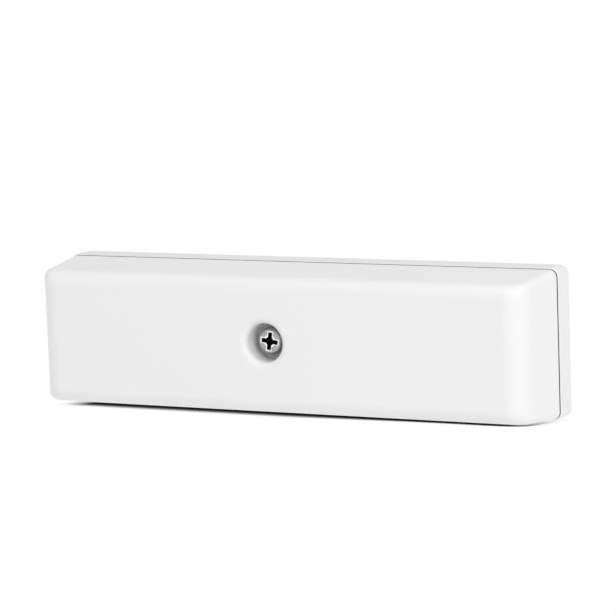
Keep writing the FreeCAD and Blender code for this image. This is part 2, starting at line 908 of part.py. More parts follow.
def switch_body():
    """Case of the learn switch, with a round well for the button and four legs."""
    x, z = on_board(switch_along, switch_up)
    front = board_front_y - switch_height
    case = square_case(x, z, switch_width, switch_width, front, board_front_y)
    well = rod(x, z, front, front + button_sunk + button_travel + button_floor_gap,
               button_diameter / 2 + button_fit)
    reach = switch_width / 2 + switch_leg_reach
    half = switch_leg_width / 2
    bars = [block(x - reach, x + reach, board_front_y - switch_leg_sheet, board_front_y,
                  z + side * switch_leg_offset - half, z + side * switch_leg_offset + half)
            for side in (-1, 1)]
    return one_solid(case.cut(well).fuse(bars), "switch_body")


def learn_button():
    """Round plunger with a bevelled top."""
    x, z = on_board(switch_along, switch_up)
    front = board_front_y - switch_height - button_stand
    rear = board_front_y - switch_height + button_sunk
    radius = button_diameter / 2
    return turned([(0, front), (radius - button_bevel, front), (radius, front + button_bevel),
                   (radius, rear), (0, rear)], x, z)


def dial_body():
    """Case of the sensitivity control, with a round well for its dial."""
    x, z = on_board(dial_along, dial_up)
    front = board_front_y - dial_body_height
    case = square_case(x, z, dial_body_width, dial_body_width, front, board_front_y)
    return case.cut(rod(x, z, front, front + dial_sunk + dial_floor_gap,
                        dial_diameter / 2 + dial_fit))


def sensitivity_dial():
    """Dial with a driver slot that widens to an arrow head at one end."""
    x, z = on_board(dial_along, dial_up)
    case_front = board_front_y - dial_body_height
    front = case_front - dial_stand
    radius = dial_diameter / 2
    disc = turned([(0, front), (radius - dial_bevel, front), (radius, front + dial_bevel),
                   (radius, case_front + dial_sunk), (0, case_front + dial_sunk)], x, z)
    half = dial_slot_width / 2
    reach = radius - dial_arrow_border
    neck = reach - dial_arrow
    outline = [(-half, -reach), (half, -reach), (half, neck), (dial_arrow_half, neck),
               (0, reach), (-dial_arrow_half, neck), (-half, neck)]
    corners = [Vector(x + across, front - overcut, z + up) for across, up in outline]
    face = Part.Face(Part.makePolygon(corners + [corners[0]]))
    return one_solid(disc.cut(face.extrude(Vector(0, dial_slot_depth + overcut, 0))),
                     "sensitivity_dial")


def status_light():
    """Light in a square case with a round well over its lens."""
    x, z = on_board(light_along, light_up)
    front = board_front_y - light_height
    case = square_case(x, z, light_width, light_width, front, board_front_y)
    return case.cut(rod(x, z, front, front + light_well_depth, light_well_diameter / 2))


def bevelled_case(x, z, length, height, near_y, far_y, edge):
    """Moulded chip case, bevelled round its front."""
    case = square_case(x, z, length, height, near_y, far_y)
    return case.makeChamfer(edge, edges_at(case, near_y))


def motion_sensor():
    """Small square chip on its solder pads."""
    x, z = on_board(motion_along, motion_up)
    top = board_front_y - motion_pad_height
    case = square_case(x, z, motion_width, motion_width, top - motion_height, top)
    long = motion_pad_length / 2
    wide = motion_pad_width / 2
    pads = []
    for across in (x - motion_pad_across, x + motion_pad_across):
        for up in (z - motion_pad_pitch, z, z + motion_pad_pitch):
            pads.append(block(across - long, across + long, top, board_front_y,
                              up - wide, up + wide))
    return one_solid(case.fuse(pads), "motion_sensor")


def chip_lead(x, z, side):
    """Gull-wing lead: out of the case, down and out along the board."""
    sheet = chip_lead_sheet
    inner = chip_width / 2 - chip_lead_root
    outer = chip_span / 2
    knee = chip_width / 2 + chip_lead_knee
    exit_y = board_front_y - chip_stand - chip_height / 2
    points = [(inner, exit_y), (inner, exit_y - sheet), (knee, exit_y - sheet),
              (knee, board_front_y - sheet), (outer, board_front_y - sheet),
              (outer, board_front_y), (knee - sheet, board_front_y), (knee - sheet, exit_y)]
    corners = [Vector(x + side * across, y, z - chip_lead_width / 2) for across, y in points]
    face = Part.Face(Part.makePolygon(corners + [corners[0]]))
    return face.extrude(Vector(0, 0, chip_lead_width))


def microcontroller():
    """Chip with leads along both long sides."""
    x, z = on_board(chip_along, chip_up)
    top = board_front_y - chip_stand
    case = bevelled_case(x, z, chip_width, chip_length, top - chip_height, top, chip_edge)
    first = z - chip_lead_pitch * (chip_leads_per_side - 1) / 2
    leads = [chip_lead(x, first + i * chip_lead_pitch, side)
             for i in range(chip_leads_per_side) for side in (-1, 1)]
    return one_solid(case.fuse(leads), "microcontroller")


def clock_crystal():
    """Low moulded case that holds the clock crystal."""
    x, z = on_board(crystal_along, crystal_up)
    return bevelled_case(x, z, crystal_length, crystal_width, board_front_y - crystal_height,
                         board_front_y, crystal_edge)


def reservoir_capacitor():
    """Upright can on a square base with two cut corners."""
    x, z = on_board(capacitor_along, capacitor_up)
    half = capacitor_base / 2
    cut = half - capacitor_chamfer
    base_top = board_front_y - capacitor_base_height
    outline = [(-half, -half), (cut, -half), (half, -cut), (half, cut), (cut, half),
               (-half, half)]
    corners = [Vector(x + a, base_top, z + b) for a, b in outline]
    base = Part.Face(Part.makePolygon(corners + [corners[0]]))
    base = base.extrude(Vector(0, capacitor_base_height, 0))
    radius = capacitor_diameter / 2
    top = board_front_y - capacitor_height
    can = rod(x, z, top, base_top, radius)
    vent = block(x - radius, x + radius, top - overcut, top + capacitor_vent,
                 z - capacitor_vent_width / 2, z + capacitor_vent_width / 2)
    return one_solid(can.cut(vent).fuse(base), "reservoir_capacitor")


def radio_board():
    """Small carrier board with notched contacts along both sides."""
    x, z = on_board(radio_along, radio_up)
    carrier = square_case(x, z, radio_length, radio_width, board_front_y - radio_thickness,
                          board_front_y)
    first = z - castellation_pitch * (radio_castellations - 1) / 2
    half = castellation_width / 2
    notches = [block(x + side * radio_length / 2 - half, x + side * radio_length / 2 + half,
                     board_front_y - radio_thickness, board_front_y,
                     first + i * castellation_pitch - half, first + i * castellation_pitch + half)
               for i in range(radio_castellations) for side in (-1, 1)]
    return one_solid(carrier.cut(Part.makeCompound(notches)), "radio_board")


def radio_shield():
    """Drawn metal can over the radio's circuit."""
    x, z = on_board(radio_along, radio_up)
    rear = board_front_y - radio_thickness
    can = rounded_block(radio_length - 2 * shield_inset, radio_width - 2 * shield_inset,
                        shield_corner_radius, rear - shield_height, rear, x, z)
    return can.makeChamfer(shield_bevel, edges_at(can, rear - shield_height))


def chip_row(count, along, up, step, height, upright):
    """Row of small chip parts, lying along X or standing along Z."""
    length, width = (small_width, small_length) if upright else (small_length, small_width)
    row = []
    for i in range(count):
        x, z = on_board(along + i * step, up)
        row.append(square_case(x, z, length, width, board_front_y - height, board_front_y))
    return Part.makeCompound(row)


def chip_resistors():
    """Row of chip resistors along the board's lower edge."""
    return chip_row(resistor_count, resistor_along, resistor_up, resistor_step,
                    resistor_height, True)


def chip_capacitors():
    """Row of chip capacitors beside the radio module."""
    return chip_row(capacitor_chip_count, capacitor_chip_along, capacitor_chip_up,
                    capacitor_chip_step, capacitor_chip_height, False)


def build():
    """Every piece of the sensor, by name."""
    return {
        "back_plate": back_plate(),
        "lid_seal": lid_seal(),
        "threaded_insert": threaded_insert(),
        "front_cover": front_cover(),
        "sealing_washer": sealing_washer(),
        "cover_screw": cover_screw(),
        "battery_tray": battery_tray(),
        "upper_battery": upper_battery(),
        "lower_battery": lower_battery(),
        "series_contact": series_contact(),
        "positive_contact": end_contact(upper_cell_z, False),
        "negative_contact": end_contact(lower_cell_z, True),
        "circuit_board": circuit_board(),
        "board_screws": board_screws(),
        "switch_body": switch_body(),
        "learn_button": learn_button(),
        "dial_body": dial_body(),
        "sensitivity_dial": sensitivity_dial(),
        "status_light": status_light(),
        "motion_sensor": motion_sensor(),
        "microcontroller": microcontroller(),
        "clock_crystal": clock_crystal(),
        "reservoir_capacitor": reservoir_capacitor(),
        "radio_board": radio_board(),
        "radio_shield": radio_shield(),
        "antenna_coil": antenna_coil(),
        "chip_resistors": chip_resistors(),
        "chip_capacitors": chip_capacitors(),
    }


os.makedirs("parts", exist_ok=True)
pieces = build()
for name, shape in pieces.items():
    box = shape.BoundBox
    print(name, "valid" if shape.isValid() else "not valid", len(shape.Solids),
          "volume", round(shape.Volume, 2), "x", round(box.XMin, 2), round(box.XMax, 2),
          "y", round(box.YMin, 2), round(box.YMax, 2), "z", round(box.ZMin, 2), round(box.ZMax, 2))
    shape.exportStep("parts/" + name + ".step")
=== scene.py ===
import json
import math
from functools import reduce

import bpy
from mathutils import Matrix, Vector


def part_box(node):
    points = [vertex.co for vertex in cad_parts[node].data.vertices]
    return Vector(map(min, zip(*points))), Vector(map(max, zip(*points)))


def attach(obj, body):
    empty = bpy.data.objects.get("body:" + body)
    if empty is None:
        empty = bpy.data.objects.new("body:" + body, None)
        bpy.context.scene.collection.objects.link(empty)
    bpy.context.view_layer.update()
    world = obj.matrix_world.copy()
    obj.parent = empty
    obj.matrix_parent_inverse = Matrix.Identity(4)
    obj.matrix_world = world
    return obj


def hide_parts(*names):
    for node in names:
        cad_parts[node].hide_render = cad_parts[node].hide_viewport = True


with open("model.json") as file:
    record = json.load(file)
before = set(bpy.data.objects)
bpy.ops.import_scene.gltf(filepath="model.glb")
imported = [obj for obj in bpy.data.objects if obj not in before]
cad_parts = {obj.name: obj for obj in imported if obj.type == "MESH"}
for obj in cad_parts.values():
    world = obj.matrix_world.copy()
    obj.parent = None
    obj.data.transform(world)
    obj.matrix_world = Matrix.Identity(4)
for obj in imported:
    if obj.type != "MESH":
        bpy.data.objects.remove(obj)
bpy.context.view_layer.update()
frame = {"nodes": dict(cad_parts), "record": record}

MM = 0.001
MERGE = 0.0005 * MM  # Points nearer than this become one
FRONT = Vector((0, -1, 0))
BACK = Vector((0, 1, 0))

# Plain helpers


def mm(*values):
    """Millimetres as a vector in metres."""
    return Vector(values) * MM


def at(x, z, y=0):
    """Point at a place across, up and along the depth."""
    return Vector((x, y, z))


def around(place, wide, tall, start, end):
    """Corners of a box round a place, between two ends along Y."""
    return at(place.x - wide, place.z - tall, start), at(place.x + wide, place.z + tall, end)


def span(node):
    """Lowest corner, highest corner and middle of a CAD node, in millimetres."""
    low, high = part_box(node)
    return low / MM, high / MM, (low + high) / (2 * MM)


def round_span(node):
    """Front, depth, radius and middle of a round CAD node, in millimetres."""
    low, high, middle = span(node)
    return low.y, high.y - low.y, (high.x - low.x) / 2, middle


def object_mode():
    bpy.ops.object.mode_set(mode="OBJECT")


def edit_mode():
    bpy.ops.object.mode_set(mode="EDIT")


def select_all(action="SELECT"):
    bpy.ops.mesh.select_all(action=action)


def extrude(step):
    bpy.ops.mesh.extrude_region_move(TRANSFORM_OT_translate={"value": step})


def deselect():
    if bpy.context.object and bpy.context.object.mode != "OBJECT":
        object_mode()
    bpy.ops.object.select_all(action="DESELECT")


def pick(piece):
    """Selects one piece alone and makes it active."""
    deselect()
    piece.select_set(True)
    bpy.context.view_layer.objects.active = piece


def edit(piece):
    """Opens a piece in edit mode with all of it selected."""
    pick(piece)
    edit_mode()
    select_all()


def close(piece, name):
    """Leaves edit mode, names the piece and puts its place into its mesh."""
    pick(piece)
    piece.name = piece.data.name = name
    bpy.ops.object.transform_apply()
    return piece


def close_solid(piece, name):
    """Merges doubles, turns every face outward and closes the piece."""
    select_all()
    bpy.ops.mesh.remove_doubles(threshold=MERGE)
    bpy.ops.mesh.normals_make_consistent()
    return close(piece, name)


def apply_modifier(piece, kind, **settings):
    """Adds a modifier with its settings and applies it."""
    pick(piece)
    modifier = piece.modifiers.new(kind.lower(), kind)
    for key, value in settings.items():
        setattr(modifier, key, value)
    bpy.ops.object.modifier_apply(modifier=modifier.name)
    return piece


def heal(piece):
    """Merges doubles, removes slivers and loose points, and turns every face outward."""
    edit(piece)
    bpy.ops.mesh.remove_doubles(threshold=MERGE)
    bpy.ops.mesh.dissolve_degenerate(threshold=MERGE)
    bpy.ops.mesh.delete_loose()
    bpy.ops.mesh.normals_make_consistent()
    object_mode()
    return piece


def round_edges(piece, width, segments=2, angle=40):
    """Rounds every edge sharper than an angle."""
    apply_modifier(
        piece, "BEVEL", width=width * MM, segments=segments, limit_method="ANGLE",
        angle_limit=math.radians(angle), use_clamp_overlap=True)
    return heal(piece)


def combine(piece, other, operation):
    apply_modifier(piece, "BOOLEAN", operation=operation, object=other, solver="EXACT")
    bpy.data.objects.remove(other)


def cut_away(piece, cutter):
    """Takes a cutter's shape out of a piece and removes the cutter."""
    combine(piece, cutter, "DIFFERENCE")
    return heal(piece)


def join(pieces, name):
    """Joins pieces into the first one."""
    pick(pieces[0])
    for piece in pieces:
        piece.select_set(True)
    bpy.ops.object.join()
    return close(pieces[0], name)


def block(low, high, name="block"):
    """Box between two corners, in millimetres."""
    deselect()
    low, high = Vector(low), Vector(high)
    bpy.ops.mesh.primitive_cube_add(size=1, location=(low + high) / 2 * MM, scale=(high - low) * MM)
    return close(bpy.context.object, name)


def turned(piece, centre, degrees):
    """Turns a piece about Y and moves it to a centre."""
    piece.rotation_euler = (0, math.radians(degrees), 0)
    piece.location = mm(centre.x, 0, centre.z)
    return close(piece, piece.name)


def draw_line(points):
    """Line of edges through points in metres, left open in edit mode."""
    deselect()
    bpy.ops.mesh.primitive_plane_add(size=MM, location=(0, 0, 0))
    line = bpy.context.object
    edit_mode()
    bpy.ops.mesh.select_mode(type="VERT")
    select_all()
    bpy.ops.mesh.merge(type="CENTER")
    bpy.ops.transform.translate(value=points[0])
    for start, end in zip(points, points[1:]):
        extrude(end - start)
    return line


def lathe(name, profile, centre, start=0.0, steps=64, axis="Y"):
    """Turned piece from (radius, along) points, measured from a start on an axis.

    A profile that begins away from the axis is closed to a ring.
    """
    if profile[0][0]:
        profile = [*profile, profile[0]]
    x, y, z = centre
    if axis == "Y":
        points = [mm(x + radius, start + along, z) for radius, along in profile]
    else:
        points = [mm(start + along, y, z + radius) for radius, along in profile]
    piece = draw_line(points)
    select_all()
    bpy.ops.mesh.spin(
        steps=steps, angle=2 * math.pi, center=mm(x, y, z), axis=(0, 1, 0) if axis == "Y" else (1,
        0, 0))
    return close_solid(piece, name)


def well(piece, place, front, depth, radius, room=1):
    """Cuts a round hole along Y, from some room before a face to a depth behind it."""
    deselect()
    start = front - room
    end = front + depth
    bpy.ops.mesh.primitive_cylinder_add(
        vertices=48, radius=radius * MM, depth=(end - start) * MM,
        location=mm(place.x, (start + end) / 2, place.z), rotation=(math.radians(90), 0, 0))
    return cut_away(piece, bpy.context.object)


def select_parts(piece, kind, wanted):
    """Opens a piece in edit mode with only the faces or edges that a test picks."""
    edit(piece)
    bpy.ops.mesh.select_mode(type=kind)
    select_all("DESELECT")
    object_mode()
    for part in piece.data.polygons if kind == "FACE" else piece.data.edges:
        part.select = wanted(part)
    edit_mode()


def select_end(piece, direction):
    """Opens a piece in edit mode with only its face toward a direction; gives its middle."""
    def looks(face):
        return face.normal.dot(direction) > 0.9

    middle = next(face.center.copy() for face in piece.data.polygons if looks(face))
    select_parts(piece, "FACE", looks)
    return middle


def taper(piece, direction, wide, tall):
    """Scales the end face toward a direction about its own middle."""
    middle = select_end(piece, direction)
    bpy.ops.transform.resize(value=(wide, 1, tall), center_override=middle)
    object_mode()
    return piece


def repeated(piece, name, shifts):
    """A piece and its copies at (x, z) shifts in millimetres, joined."""
    row = [piece]
    for x, z in shifts:
        pick(piece)
        bpy.ops.object.duplicate()
        twin = bpy.context.object
        twin.location = mm(x, 0, z)
        bpy.ops.object.transform_apply()
        row.append(twin)
    return join(row, name)


def panel(name, low, high, corner):
    """Flat rounded rectangle across Y at the high corner, left open in edit mode."""
    deselect()
    low, high = Vector(low), Vector(high)
    bpy.ops.mesh.primitive_plane_add(
        size=1, location=mm((low.x + high.x) / 2, high.y, (low.z + high.z) / 2),
        rotation=(math.radians(90), 0, 0))
    piece = bpy.context.object
    piece.scale = ((high.x - low.x) * MM, (high.z - low.z) * MM, 1)
    edit(close(piece, name))
    bpy.ops.mesh.select_mode(type="VERT")
    select_all()
    bpy.ops.mesh.bevel(offset=corner * MM, segments=5, affect="VERTICES")
    select_all()
    return piece


def deepen(piece, depth):
    """Gives an open sheet its depth along Y, and closes it."""
    select_all()
    extrude(mm(0, depth, 0))
    return close_solid(piece, piece.name)


def slab(name, low, high, corner, edge, segments=2):
    """Box with rounded corners round Y and softened rims."""
    piece = deepen(panel(name, low, high, corner), low[1] - high[1])
    return round_edges(piece, edge, segments, 60)


def thread(crest, root, start, end):
    """(radius, along) points of a thread between two places."""
    pitch = 0.7
    points = []
    for i in range(int((end - start) / pitch)):
        points += [(crest, start + i * pitch), (root, start + (i + 0.5) * pitch)]
    return points + [(crest, points[-1][1] + pitch / 2)]


def ribbon(name, paths, width, rise):
    """Flat lines through (x, z) points, which stand a little proud of the board."""
    band = join([draw_line([mm(x, board_face, z) for x, z in path]) for path in paths], name)
    bpy.ops.object.convert(target="CURVE")
    band.data.bevel_depth = width / 2 * MM
    band.data.bevel_resolution = 1
    band.data.use_fill_caps = True
    bpy.ops.object.convert(target="MESH")
    edit(band)
    bpy.ops.transform.resize(
        value=(1, 2 * rise / width, 1), center_override=(0, board_face * MM, 0))
    return close_solid(band, name)


def put(piece, slot, *nodes, body="base", look=None, angle=30):
    """Gives a piece smooth faces, its look and its body, and hides the CAD nodes it stands for.

    The look has the slot's name unless it is given; an angle of 0 leaves the faces flat.
    """
    pick(piece)
    if angle:
        bpy.ops.object.shade_smooth_by_angle(angle=math.radians(angle))
    piece.data.materials.clear()
    piece.data.materials.append(LOOKS[look or slot])
    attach(piece, body)
    if nodes:
        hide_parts(*nodes)


def put_tin(piece, angle=35):
    """Puts a tinned piece on the base."""
    put(piece, "contact_steel", look="tin", angle=angle)


# Places that several pieces share

SHELL_CORNER = 2.0
PLATE_DEPTH = 6.9
LEAD_PITCH = 1.27
RADIO_PITCH = 1.8
plate_front = span("back_plate")[1].y - PLATE_DEPTH
board_low, board_high, _ = span("circuit_board")
board_face = board_low.y

# Shader groups


def feed(tree, node, inputs):
    """Links a node's inputs to sockets, or gives them values."""
    for label, value in dict(inputs).items():
        if isinstance(value, bpy.types.NodeSocket):
            tree.links.new(value, node.inputs[label])
        else:
            node.inputs[label].default_value = value
    return node


def add(tree, kind, inputs=(), **settings):
    """Shader node with its settings and inputs."""
    node = tree.nodes.new("ShaderNode" + kind)
    for key, value in settings.items():
        setattr(node, key, value)
    return feed(tree, node, inputs)


def calc(operation, *values):
    """Output of a math node on sockets and numbers, in the tree of the first socket."""
    tree = next(value.id_data for value in values if isinstance(value, bpy.types.NodeSocket))
    return add(tree, "Math", enumerate(values), operation=operation).outputs[0]


def fold(operation, values):
    """One value from several by the same operation on each in turn."""
    return reduce(lambda a, b: calc(operation, a, b), values)


def split(vector):
    """The three parts of a vector."""
    return add(vector.id_data, "SeparateXYZ", {0: vector}).outputs


def noise(vector, scale, detail, roughness):
    """Noise value at a scale of grains a metre."""
    return add(vector.id_data, "TexNoise", {
        "Vector": vector, "Scale": scale, "Detail": detail, "Roughness": roughness}).outputs[0]


def swing(value, share, middle):
    """A share of a noise value's distance from its mean, about a middle."""
    return calc("MULTIPLY_ADD", calc("SUBTRACT", value, 0.5), share, middle)


def map_range(value, before, after):
    """Value carried from one range to another, and held at its ends."""
    return add(value.id_data, "MapRange", {
        "Value": value, "From Min": before[0], "From Max": before[1],
        "To Min": after[0], "To Max": after[1]}).outputs["Result"]


def new_group(name, inputs, outputs):
    """Empty node group with named sockets; gives it and its two ends."""
    kinds = {"Colour": "NodeSocketColor", "Vector": "NodeSocketVector",
             "Low": "NodeSocketVector", "High": "NodeSocketVector"}
    group = bpy.data.node_groups.new(name, "ShaderNodeTree")
    for labels, side in ((inputs, "INPUT"), (outputs, "OUTPUT")):
        for label in labels:
            kind = kinds.get(label, "NodeSocketFloat")
            group.interface.new_socket(label, in_out=side, socket_type=kind)
    given, end = (group.nodes.new("NodeGroup" + side) for side in ("Input", "Output"))
    return group, given.outputs, end


def surface_group(name, numbers):
    """Node group of a surface's colour, roughness and height."""
    return new_group(
        name, ["Vector", "Colour", "Roughness", *numbers], ["Colour", "Roughness", "Height"])


def finish_group(group, given, end, factor, roughness, height):
    """Puts out the colour times a factor, the roughness and the height."""
    colour = add(group, "HueSaturation", {"Value": factor, "Color": given["Colour"]})
    feed(group, end, {"Colour": colour.outputs[0], "Roughness": roughness, "Height": height})
    return group


def moulded_group():
    """Spark-eroded grain, slow drift of tone and a little handling haze on plastic."""
    group, given, end = surface_group("moulded_grain", ["Grain", "Drift", "Haze"])
    fine = noise(given["Vector"], given["Grain"], 3.0, 0.6)
    slow = noise(given["Vector"], 45.0, 2.0, 0.5)
    patches = noise(given["Vector"], 210.0, 4.0, 0.55)
    speck = swing(fine, calc("MULTIPLY", given["Drift"], 0.6), 1.0)
    return finish_group(
        group, given, end, swing(slow, given["Drift"], speck),
        swing(patches, given["Haze"], given["Roughness"]), fine)


def worked_metal_group():
    """Fine tool lines, small stains and uneven polish on metal."""
    group, given, end = surface_group("worked_metal", ["Lines", "Stain", "Patch", "Spread"])
    fine = noise(given["Vector"], given["Lines"], 2.0, 0.5)
    stain = noise(given["Vector"], given["Patch"], 5.0, 0.6)
    return finish_group(
        group, given, end, swing(stain, given["Stain"], 1.0),
        swing(fine, given["Spread"], given["Roughness"]), fine)


def printed_box_group():
    """Mask of 1 inside a box between two corners."""
    group, given, end = new_group("printed_box", ["Vector", "Low", "High"], ["Mask"])
    parts = zip(*(split(given[label]) for label in ("Vector", "Low", "High")))
    inside = [
        calc("MULTIPLY", calc("GREATER_THAN", place, low),
        calc("LESS_THAN", place, high)) for place, low, high in parts]
    feed(group, end, {"Mask": fold("MULTIPLY", inside)})
    return group


MOULDED = moulded_group()
WORKED = worked_metal_group()
PRINTED = printed_box_group()
LOOKS = {}


def finish_material(name, group, values, colour, bump, metallic=0.0, stretch=(1, 1, 1)):
    """Material on object coordinates from a shared group, with a bump in millimetres."""
    material = bpy.data.materials.new(name)
    material.use_nodes = True
    tree = material.node_tree
    place = add(tree, "TexCoord").outputs["Object"]
    mapping = add(tree, "Mapping", {"Vector": place, "Scale": stretch})
    given = {"Vector": mapping.outputs[0], "Colour": (*colour, 1.0), **values}
    detail = add(tree, "Group", given, node_tree=group).outputs
    relief = add(tree, "Bump", {"Distance": bump * MM, "Height": detail["Height"]})
    feed(tree, tree.nodes["Principled BSDF"], {
        "Base Color": detail["Colour"], "Roughness": detail["Roughness"],
        "Normal": relief.outputs[0], "Metallic": metallic})
    LOOKS[name] = material
    return material


def plastic(name, colour, roughness, grain=2500, drift=0.02, haze=0.06, bump=0.004):
    values = {"Grain": grain, "Drift": drift, "Roughness": roughness, "Haze": haze}
    return finish_material(name, MOULDED, values, colour, bump)


def metal(name, colour, roughness, lines=4000, bump=0.001, stain=0.15, spread=0.12,
          stretch=(1, 1, 1), patch=380):
    values = {
        "Lines": lines, "Stain": stain, "Patch": patch, "Roughness": roughness, "Spread": spread}
    return finish_material(name, WORKED, values, colour, bump, 1.0, stretch)


# Finishes: name, colour, roughness, grains a metre, drift, haze and bump in millimetres

PLASTICS = [
    ("seal_rubber", (0.03, 0.03, 0.032), 0.62, 2600, 0.15, 0.1, 0.006),
    ("washer_rubber", (0.46, 0.46, 0.45), 0.6, 2600, 0.15, 0.1, 0.006),
    ("tray_plastic", (0.035, 0.035, 0.037), 0.5, 1900, 0.12, 0.1, 0.01),
    ("chip_plastic", (0.03, 0.03, 0.033), 0.55, 4500, 0.2, 0.1, 0.006),
    ("button_plastic", (0.05, 0.05, 0.055), 0.42, 3600, 0.1),
    ("dial_plastic", (0.86, 0.86, 0.83), 0.4, 3600),
    ("control_plastic", (0.03, 0.11, 0.36), 0.42, 3000, 0.08),
    ("light_plastic", (0.84, 0.83, 0.78), 0.3, 4200),
    ("crystal_plastic", (0.04, 0.04, 0.042), 0.5, 4500, 0.15),
    ("resistor_ceramic", (0.03, 0.03, 0.035), 0.35, 5200, 0.2),
    ("capacitor_ceramic", (0.42, 0.30, 0.18), 0.42, 5200, 0.12),
    ("board_laminate", (0.012, 0.115, 0.045), 0.33, 1400, 0.12, 0.1),
    ("radio_laminate", (0.01, 0.045, 0.16), 0.33, 1400, 0.12, 0.1),
    ("cell_sleeve", (0.05, 0.12, 0.19), 0.22, 1700, 0.08, 0.08, 0.003),
    ("bare_laminate", (0.22, 0.19, 0.09), 0.5, 3800, 0.15),
    ("lens_gel", (0.82, 0.60, 0.10), 0.14, 4200, 0.05, 0.06, 0.001),
    ("board_copper", (0.02, 0.19, 0.075), 0.3, 1400, 0.1),
    ("board_ink", (0.80, 0.80, 0.76), 0.5, 4200, 0.06)]
for finish in PLASTICS:
    plastic(*finish)

# Name, colour, roughness, lines a metre, bump in millimetres, stain, spread and stretch

METALS = [
    ("steel_screw", (0.62, 0.63, 0.64), 0.24, 5200, 0.0012, 0.12, 0.14),
    ("contact_steel", (0.66, 0.65, 0.62), 0.3, 5200, 0.0002, 0.08, 0.06, (1, 1, 0.1)),
    ("shield_steel", (0.70, 0.70, 0.69), 0.3, 2600, 0.0015, 0.15, 0.12, (0.1, 1, 1)),
    ("can_aluminium", (0.78, 0.78, 0.775), 0.28, 3200, 0.001, 0.15, 0.12, (1, 0.1, 1)),
    ("brass", (0.72, 0.52, 0.22), 0.28, 3600),
    ("antenna_wire", (0.78, 0.52, 0.26), 0.25, 3600),
    ("tin", (0.74, 0.745, 0.74), 0.34, 2800, 0.002, 0.12),
    ("cell_steel", (0.62, 0.62, 0.61), 0.3, 2600, 0.0015, 0.18),
    ("plated_gold", (0.83, 0.63, 0.28), 0.26, 3200)]
for finish in METALS:
    metal(*finish)

# Masks, and the looks that need them


def print_mask(tree, place, boxes):
    """Mask of 1 inside any of the boxes, given by their corners in millimetres."""
    return fold("MAXIMUM", [add(tree, "Group", {
        "Vector": place.outputs["Object"], "Low": mm(*low), "High": mm(*high)},
        node_tree=PRINTED).outputs["Mask"] for low, high in boxes])


def bore_mask(tree, place, centre, radius, start, end):
    """Mask of 1 round a line along Y through a centre, between two places on it."""
    shift = add(tree, "VectorMath", {
        0: place.outputs["Object"], 1: mm(centre.x, 0, centre.z)}, operation="SUBTRACT")
    x, y, z = split(shift.outputs[0])
    squares = [calc("POWER", part, 2.0) for part in (x, z)]
    away = calc("SQRT", calc("ADD", *squares))
    tests = (("LESS_THAN", away, radius), ("GREATER_THAN", y, start), ("LESS_THAN", y, end))
    inside = [calc(test, part, limit * MM) for test, part, limit in tests]
    return fold("MULTIPLY", inside)


def edge_mask(tree, place):
    """Mask of 1 on a board's cut edges, which look across Y."""
    along = split(place.outputs["Normal"])[1]
    return calc("LESS_THAN", calc("ABSOLUTE", along), 0.5)


def corner_arcs(tree, place, low, high, width, start, end):
    """Mask of 1 on an arc round each rounded corner of a box, between two places along Y."""
    half = (SHELL_CORNER + 1) / 2
    arcs = []
    for x, inward in ((low.x, 1), (high.x, -1)):
        for z, up in ((low.z, 1), (high.z, -1)):
            centre = at(x + inward * SHELL_CORNER, z + up * SHELL_CORNER)
            box = around(centre - at(inward, up) * half, half, half, start, end)
            discs = [bore_mask(tree, place, centre, radius, start, end)
                     for radius in (SHELL_CORNER + 0.04, SHELL_CORNER - width)]
            ring = calc("SUBTRACT", *discs)
            arcs.append(calc("MULTIPLY", print_mask(tree, place, [box]), ring))
    return fold("MAXIMUM", arcs)


def seam_shade_mask(tree, place, boxes, unshaded_box, arcs):
    """Mask of painted shade in a seam: 1 in boxes but not in the unshaded box, and on the arcs that
    are given.
    """
    around = calc("SUBTRACT", 1.0, print_mask(tree, place, [unshaded_box]))
    painted_seam = calc("MULTIPLY", print_mask(tree, place, boxes), around)
    return calc("MAXIMUM", painted_seam, corner_arcs(tree, place, *arcs)) if arcs else painted_seam


def recolour(material, colour, make_mask, *details):
    """Mixes another colour into a material's own where a mask says so."""
    tree = material.node_tree
    place = next(node for node in tree.nodes if node.type == "TEX_COORD")
    target = next(node for node in tree.nodes if node.type == "GROUP").inputs["Colour"]
    before = target.links[0].from_socket if target.is_linked else target.default_value
    # A mix of colours takes them at its inputs 6 and 7, and gives the result at its output 2
    inputs = {0: make_mask(tree, place, *details), 6: before, 7: (*colour, 1.0)}
    mix = add(tree, "Mix", inputs, data_type="RGBA")
    tree.links.new(mix.outputs[2], target)
    return material


def sleeve_print(name, low, high, plus):
    """Sleeve of a cell: a pale band near the nub, and plus and minus signs on the front."""
    foot, nub = (low.x, high.x) if plus > 0 else (high.x, low.x)
    middle = (low + high) / 2
    beyond = 20.0

    def box(end, near, far, half, back):
        """Box between two distances from an end of the cell, from in front of it to a depth."""
        inward = plus if end == foot else -plus
        left, right = sorted((end + inward * near, end + inward * far))
        return (left, -beyond, middle.z - half), (right, back, middle.z + half)

    bands = [box(nub, 1, 7.5, beyond, beyond), box(nub, 8.3, 8.9, beyond, beyond)]
    signs = [box(nub, 11.2, 13.8, 0.33, middle.y), box(nub, 12.17, 12.83, 1.3, middle.y),
             box(foot, 3.0, 5.6, 0.33, middle.y)]
    material = plastic(name, (0.045, 0.075, 0.115), 0.24, 1700, 0.1, 0.08, 0.003)
    recolour(material, (0.62, 0.64, 0.65), print_mask, bands)
    recolour(material, (0.86, 0.86, 0.85), print_mask, signs)


def can_print(middle, top):
    """Can with the dark segment that marks its negative side."""
    segment = (middle.x + 2.1, top - 1, middle.z - 6), (middle.x + 6, top + 0.28, middle.z + 6)
    recolour(metal("can_marked", (0.78, 0.78, 0.775), 0.28, 3200), (0.03, 0.03, 0.035),
             print_mask, [segment])


